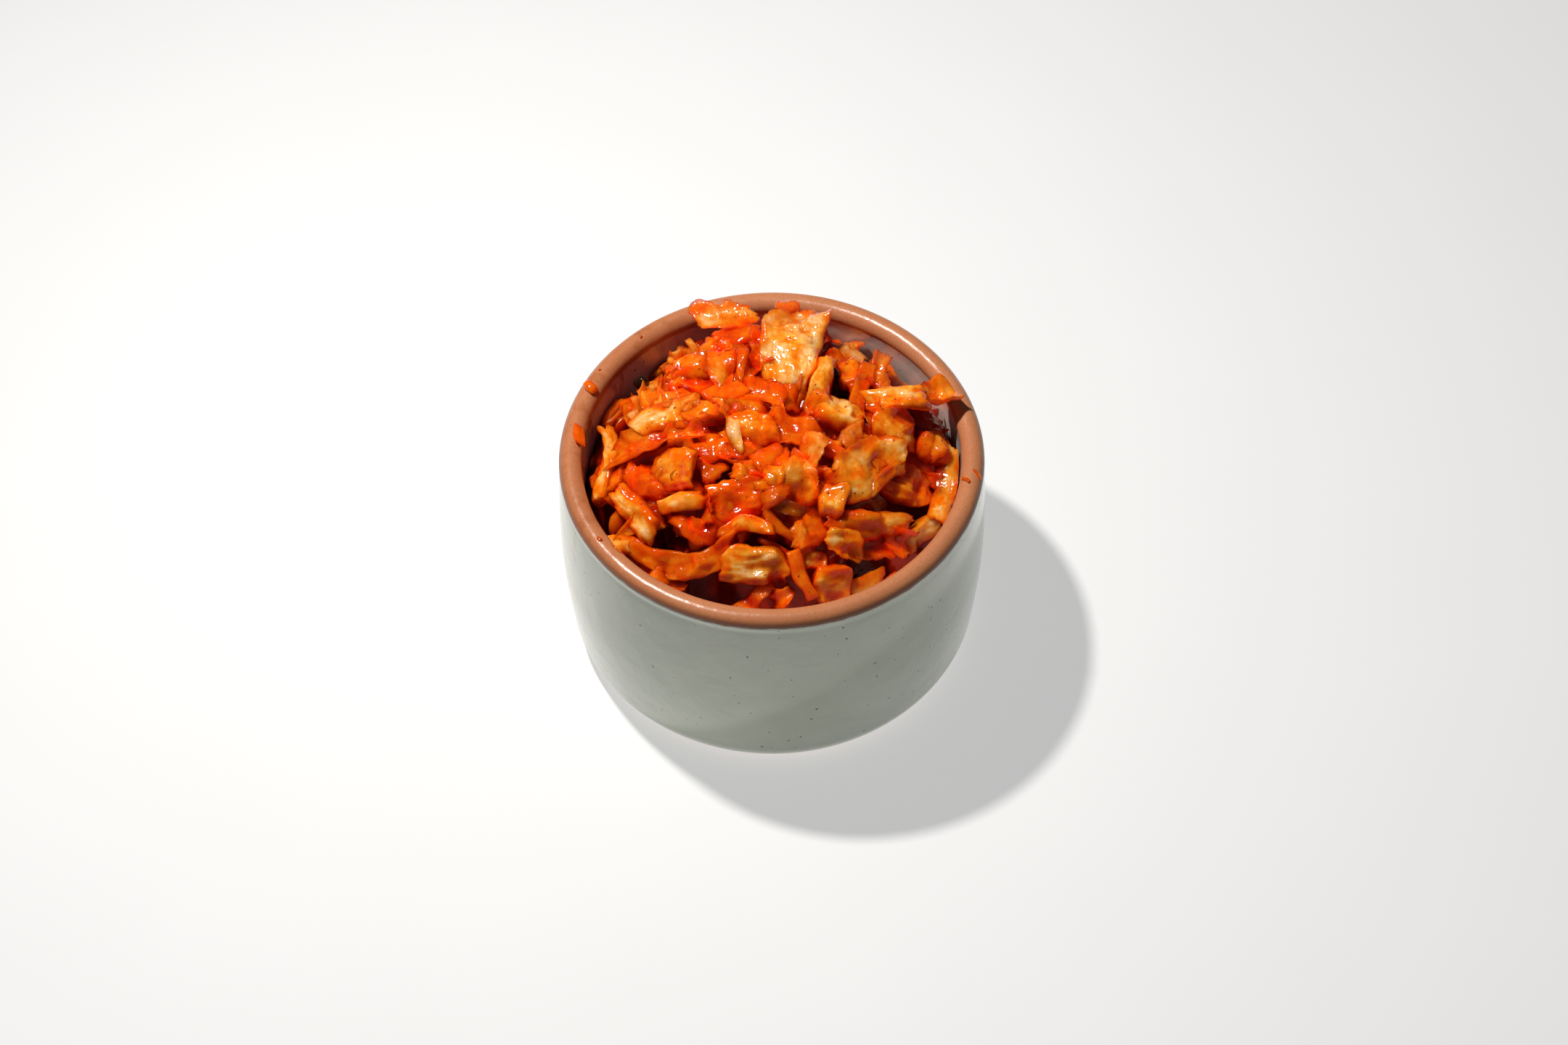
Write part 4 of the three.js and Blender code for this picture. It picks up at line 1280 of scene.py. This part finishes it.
def sauce_field(top):
    """How high sauce and minced cabbage stand: on the bed, and up the crevices between pieces."""
    closed = -widest(-widest(top, CREVICE / FIELD_STEP), CREVICE / FIELD_STEP)
    most = heap_top(FIELD_X, FIELD_Y) + SAUCE_CREST
    sauce = np.minimum(closed - SAUCE_BELOW, most) + lumps(FIELD_X, FIELD_Y, SAUCE_LUMPS, 21, 2)
    field = np.maximum(sauce, core_top(FIELD_X, FIELD_Y))
    for _ in range(3):
        field = np.minimum(field, STEEPEST - widest(-field, 2))
    return averaged(averaged(field, 1), 1)


def field_at(field, x, y):
    """A square field's value between its grid's places."""
    i, j = ((value - FIELD_SIDE[0]) / FIELD_STEP for value in (x, y))
    last = len(FIELD_SIDE) - 2
    low_i, low_j = (np.clip(np.floor(value).astype(int), 0, last) for value in (i, j))
    i, j = i - low_i, j - low_j
    near = field[low_i, low_j] * (1 - i) + field[low_i + 1, low_j] * i
    far = field[low_i, low_j + 1] * (1 - i) + field[low_i + 1, low_j + 1] * i
    return near * (1 - j) + far * j


# ---- the core under the pieces ------------------------------------------------------------------
CORE_RINGS = 96
CORE_SECTORS = 420
CORE_CORNER_STEPS = 8
CORE_SAUCE = 1.7
CORE_PALER = 0.9  # how much less sauce is in its palest bits
CORE_BITS = 0.5  # how closely those lie, in hills for each millimetre


def ring_at(radius, height):
    """One ring of points, at one height or at one for each sector."""
    angle = np.linspace(0, 2 * math.pi, CORE_SECTORS, endpoint=False)
    heights = np.zeros(CORE_SECTORS) + height
    return np.stack((radius * np.cos(angle), radius * np.sin(angle), heights), axis=1)


def core_rings(field):
    """Rings from the middle of the top out to the wall, down it, and in to the floor."""
    wall = ROOM_RADIUS - FIT_GAP
    rings = []
    for i in range(1, CORE_RINGS + 1):
        ring = ring_at(wall * i / CORE_RINGS, 0)
        ring[:, 2] = field_at(field, ring[:, 0], ring[:, 1])
        rings.append(ring)
    edge = rings[-1][:, 2]
    low = FLOOR + ROOM_CORNER
    rings += [ring_at(wall, edge + (low - edge) * share) for share in (0.25, 0.5, 0.75, 1)]
    corner = arc((ROOM_RADIUS - ROOM_CORNER, low), ROOM_CORNER - FIT_GAP, 0, -90, CORE_CORNER_STEPS)
    return rings + [ring_at(radius, z) for radius, z in corner[1:]]


def packed_core(field, relief):
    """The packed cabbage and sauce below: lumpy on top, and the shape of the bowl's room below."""
    rings = core_rings(field)
    middle_top = np.array([(0, 0, rings[0][:, 2].mean())])
    middle_low = np.array([(0, 0, FLOOR + FIT_GAP)])
    points = np.concatenate((middle_top, *rings, middle_low))
    number = 1 + np.arange(len(rings) * CORE_SECTORS).reshape(len(rings), CORE_SECTORS)
    after = np.roll(number, -1, axis=1)
    quads = quads_of(np.hstack((number, number[:, :1])))
    cap = np.stack((np.zeros(CORE_SECTORS, int), number[0], after[0]), axis=-1)
    base = np.stack((np.full(CORE_SECTORS, len(points) - 1), after[-1], number[-1]), axis=-1)
    faces = [*quads.tolist(), *cap.tolist(), *base.tolist()]
    count = len(points)
    pale = smooth(fractal(CORE_BITS * points, 3, 3), -0.2, 0.7)
    sauce = CORE_SAUCE - CORE_PALER * pale
    tint = np.column_stack((np.tile(FLESH, (count, 1)), np.ones(count), sauce))
    # The core takes the same sauce and painted light and shade as the pieces
    tint = soaked_and_shaded(points, point_normals(points, quads), tint, relief(points))
    return points, faces, tint


# ---- what is scattered on top -------------------------------------------------------------------
FLAKE_COUNT = 220  # over level ground, and more on slopes
SMALLEST_FLAKE = (0.25, 0.2, 0.1)
LARGEST_FLAKE = (0.9, 0.6, 0.25)
FLAKE_TILT = 0.4  # radians
FLAKE_SEED = 11
FLAKES_OFF_WALL = 2.5
STEEPEST_FOR_FLAKES = 1.2  # the most that a grid's square may rise under a flake


def scattering_tree():
    """Flattened grains strewn over a surface, each turned and sized at random."""
    graph, given, names = new_tree(
        "strewn_grains",
        Surface="Geometry",
        Density="Float",
        Smallest="Vector",
        Largest="Vector",
        Seed="Int",
        Finish="Material",
    )
    places = graph.add("GeometryNodeDistributePointsOnFaces", None, {
        "Mesh": given["Surface"],
        "Density": given["Density"],
        "Seed": given["Seed"],
    })

    def drawn(low, high):
        values = {0: low, 1: high, "Seed": given["Seed"]}
        return graph.add("FunctionNodeRandomValue", {"data_type": "FLOAT_VECTOR"}, values).outputs[0]

    size = drawn(given["Smallest"], given["Largest"])
    tilt = drawn((-FLAKE_TILT, -FLAKE_TILT, -math.pi), (FLAKE_TILT, FLAKE_TILT, math.pi))
    turn = graph.add("FunctionNodeRotateRotation", {"rotation_space": "LOCAL"}, {
        "Rotation": places.outputs["Rotation"],
        "Rotate By": graph.add("FunctionNodeEulerToRotation", None, {0: tilt}).outputs[0],
    })
    grain = graph.add("GeometryNodeMeshIcoSphere", None, {"Radius": 0.5, "Subdivisions": 1})
    strewn = graph.add("GeometryNodeInstanceOnPoints", None, {
        "Points": places.outputs["Points"],
        "Instance": grain.outputs["Mesh"],
        "Rotation": turn.outputs[0],
        "Scale": size,
    })
    end_tree(graph, strewn.outputs[0], given["Finish"])
    return graph.tree, names


def strewn_grains(name, top, seed, finish):
    """Grains over the top of the heap, kept off the wall."""
    points = np.stack((FIELD_X, FIELD_Y, top), axis=-1).reshape(-1, 3)
    quads = quads_of(np.arange(top.size).reshape(top.shape))
    near = np.hypot(points[:, 0], points[:, 1]) < ROOM_RADIUS - FLAKES_OFF_WALL
    flat = np.ptp(points[quads, 2], axis=1) < STEEPEST_FOR_FLAKES
    quads = quads[near[quads].all(axis=1) & flat]
    tree, names = scattering_tree()
    surface = shaped(name + "_surface", points, quads, finish)
    return grown(name, surface, tree, {
        names["Density"]: FLAKE_COUNT / (len(quads) * (FIELD_STEP * METRE) ** 2),
        names["Smallest"]: Vector(SMALLEST_FLAKE) * METRE,
        names["Largest"]: Vector(LARGEST_FLAKE) * METRE,
        names["Seed"]: seed,
        names["Finish"]: finish,
    })


# What lies on the rim: kind, distance from the middle, angle round the bowl, heading against the
# rim's own direction, length, width, thickness, look
ON_THE_RIM = [
    ("drop", 45.1, 156.1, 70, 3.8, 2.6, 2.6, "amber"),
    ("slab", 43.9, 174.5, 12, 6, 3.2, 1.5, "clear"),
    ("drop", 44.4, -12.3, 55, 2.8, 0.9, 0.9, "amber"),
    ("drop", 46.4, -9.6, 50, 3.2, 0.9, 0.9, "clear"),
    ("drop", 45.4, -146.8, 20, 1.6, 0.9, 0.8, "red"),
    ("drop", 43.7, -142, 5, 3.6, 0.9, 0.9, "clear"),
    ("drop", 44.8, 132, 20, 0.9, 0.6, 0.6, "deep"),
    ("drop", 45.8, 149, 80, 0.8, 0.5, 0.5, "red"),
]
CRUMB_ARCH = 0.1
CRUMB_BOW = 0.2
CRUMB_LIFT = 0.1  # against its thickness
CRUMB_FLATNESS = 0.7


def on_the_rim(row, seed):
    """One crumb or smear that sticks to the rim."""
    kind, radius, angle, heading, length, width, thick, look = row
    at_origin = (kind, length, width, thick, CRUMB_ARCH, CRUMB_BOW, 0, look)
    points, faces, tint, own = bent(at_origin, seed, CRUMB_STEP)
    over = radius - BEAD_MIDDLE
    rise = math.sqrt(BEAD_RADIUS**2 - over**2)
    out = Vector((math.cos(math.radians(angle)), math.sin(math.radians(angle)), 0))
    up = (out * over + Vector((0, 0, rise))).normalized()
    place = out * radius + Vector((0, 0, BEAD_HEIGHT + rise)) + up * (CRUMB_LIFT * thick)
    axes = axes_on(up, angle + 90 + heading)
    points = points * (1, 1, CRUMB_FLATNESS) @ np.array(axes) + np.array(place)
    tint = filmed(tint)
    tint[:, 3] = 1
    return points, faces, tint, own


# ---- build --------------------------------------------------------------------------------------
bowl = turned_bowl()
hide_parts("bowl")
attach(bowl, "root")

PIECES = {
    "stem": ("cabbage_stems", wet_cut("wet_cabbage_stem", fibres=0.35)),
    "leaf": ("cabbage_leaves", wet_cut("wet_cabbage_leaf", fibres=0.25)),
    "chunk": ("cabbage_chunks", wet_cut("wet_cabbage_chunk", fibres=0.2)),
    "shred": ("cabbage_shreds", wet_cut("wet_cabbage_shred", fibres=0.35)),
    "green": ("green_leaf_bits", wet_cut("wet_green_leaf", fibres=0.3)),
    "carrot": ("carrot_strips", wet_cut("wet_carrot", fibres=0.2, beads=0.5)),
    "black": ("dark_beads", wet_cut("wet_dark_skin", beads=0.5)),
}
# Each piece has a seed of its own, counted on from the first of its list
FIRST_SHOWING = 1
FIRST_FILLING = 1001
FIRST_VEIL = 3001
FIRST_CRUMB = 5001

heaps = {sort: Heap() for sort in PIECES}
for seed, row in enumerate(SHOWING, FIRST_SHOWING):
    heaps[sort_of(row)].add(*laid(row, seed))
for seed, row in enumerate(filling(), FIRST_FILLING):
    heaps[sort_of(row)].add(*laid(row, seed, FILLING_STEP))
for seed, row in enumerate(veils(), FIRST_VEIL):
    heaps[sort_of(row)].add(*laid(row, seed))

AROUND_STEPS = 6
LOWEST_RELIEF = -2.5
HIGHEST_RELIEF = 1.5
top = top_field(heaps)
around = averaged(top, AROUND_STEPS)


def relief(points):
    """How far points stand over the mean height of the heap around them, held to a few millimetres."""
    height = points[:, 2] - field_at(around, points[:, 0], points[:, 1])
    return np.clip(height, LOWEST_RELIEF, HIGHEST_RELIEF)


for heap in heaps.values():
    heap.soak_and_shade(relief)
for seed, row in enumerate(ON_THE_RIM, FIRST_CRUMB):
    heaps[sort_of(row)].add(*on_the_rim(row, seed))

cabbage = [heaps[sort].made(name, finish) for sort, (name, finish) in PIECES.items()]
points, faces, tint = packed_core(sauce_field(top), relief)
cabbage.append(shaped("packed_core", points, faces, wet_cut("sauce_and_minced_cabbage"), tint, points))
flake_finish = wet_grain("wet_chilli_flake", CHILLI_FLAKE, CHILLI_FLAKE_PALE, 0.2)
cabbage.append(strewn_grains("chilli_flakes", top, FLAKE_SEED, flake_finish))
for piece in cabbage:
    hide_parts("kimchi")
    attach(piece, "root")

# ---- ground, light and camera -------------------------------------------------------------------
GROUND_HALF_SIDE = 3000
GROUND_GREYS = ((0.6, 0.6, 0.6), (0.63, 0.63, 0.63))
GROUND_GLOW = 0.48
ROOM_GLOW = 0.05
WHITE = (1, 1, 1, 1)

KEY_PLACE = (-134, 80, 420)
KEY_SIZE = 24
KEY_POWER = 1.66
KEY_COLOUR = (1, 0.97, 0.93)

PICTURE = (2160, 1440)
RIM_MIDDLE = (0, 0, BOWL_HEIGHT)
RIM_MIDDLE_AT = (1063, 618)  # pixels across and down
FOCAL_PIXELS = 3980
SENSOR_WIDTH = 36
LOOK_DOWN = math.radians(51.8)
ROLL = math.radians(0.6)
CAMERA_DISTANCE = 650


def plain_floor():
    finish, graph, place = finish_of("pale_floor")
    seal(graph, {
        "Base Color": graph.mix(graph.noise(place, 0.02 * PER_MILLIMETRE), *GROUND_GREYS),
        "Roughness": 0.9,
        "Emission Color": WHITE,
        "Emission Strength": GROUND_GLOW,
    })
    corners = [(-1, -1, 0), (1, -1, 0), (1, 1, 0), (-1, 1, 0)]
    floor = shaped("pale_floor", GROUND_HALF_SIDE * np.array(corners, float), [(0, 1, 2, 3)], finish)


def key_lamp():
    """A round soft lamp that faces the middle of the rim."""
    light = bpy.data.lights.new("key", "AREA")
    light.shape = "DISK"
    light.size = KEY_SIZE * METRE
    light.energy = KEY_POWER
    light.color = KEY_COLOUR
    holder = in_scene("key", light)
    holder.location = Vector(KEY_PLACE) * METRE
    holder.rotation_euler = (Vector(RIM_MIDDLE) - Vector(KEY_PLACE)).to_track_quat("-Z", "Y").to_euler()


def pale_room():
    """Faint even light from all round."""
    world = bpy.data.worlds.new("pale_room")
    world.use_nodes = True
    world.node_tree.nodes.clear()
    graph = Graph(world.node_tree)
    glow = graph.add("ShaderNodeBackground", None, {"Color": WHITE, "Strength": ROOM_GLOW})
    graph.add("ShaderNodeOutputWorld", None, {"Surface": glow.outputs[0]})
    bpy.context.scene.world = world


def camera():
    """Looks at the middle of the rim, which falls a little off the middle of the picture."""
    forward = Vector((0, math.cos(LOOK_DOWN), -math.sin(LOOK_DOWN)))
    right = Vector((1, 0, 0))
    up = right.cross(forward)
    level = right * math.cos(ROLL) - up * math.sin(ROLL)
    upright = right * math.sin(ROLL) + up * math.cos(ROLL)
    aside = math.atan((RIM_MIDDLE_AT[0] - PICTURE[0] / 2) / FOCAL_PIXELS)
    down = math.atan((RIM_MIDDLE_AT[1] - PICTURE[1] / 2) / FOCAL_PIXELS)
    across = level * math.cos(aside) + forward * math.sin(aside)
    ahead = forward * math.cos(aside) - level * math.sin(aside)
    above = upright * math.cos(down) - ahead * math.sin(down)
    sight = upright * math.sin(down) + ahead * math.cos(down)
    data = bpy.data.cameras.new("camera")
    data.sensor_width = SENSOR_WIDTH
    data.lens = FOCAL_PIXELS / PICTURE[0] * data.sensor_width
    data.clip_start = 0.01
    holder = in_scene("camera", data)
    place = (Vector(RIM_MIDDLE) - forward * CAMERA_DISTANCE) * METRE
    turn = Matrix((across, above, -sight)).transposed()
    holder.matrix_world = Matrix.LocRotScale(place, turn, None)
    bpy.context.scene.camera = holder


plain_floor()
key_lamp()
pale_room()
camera()
bpy.context.scene.view_settings.view_transform = "Standard"
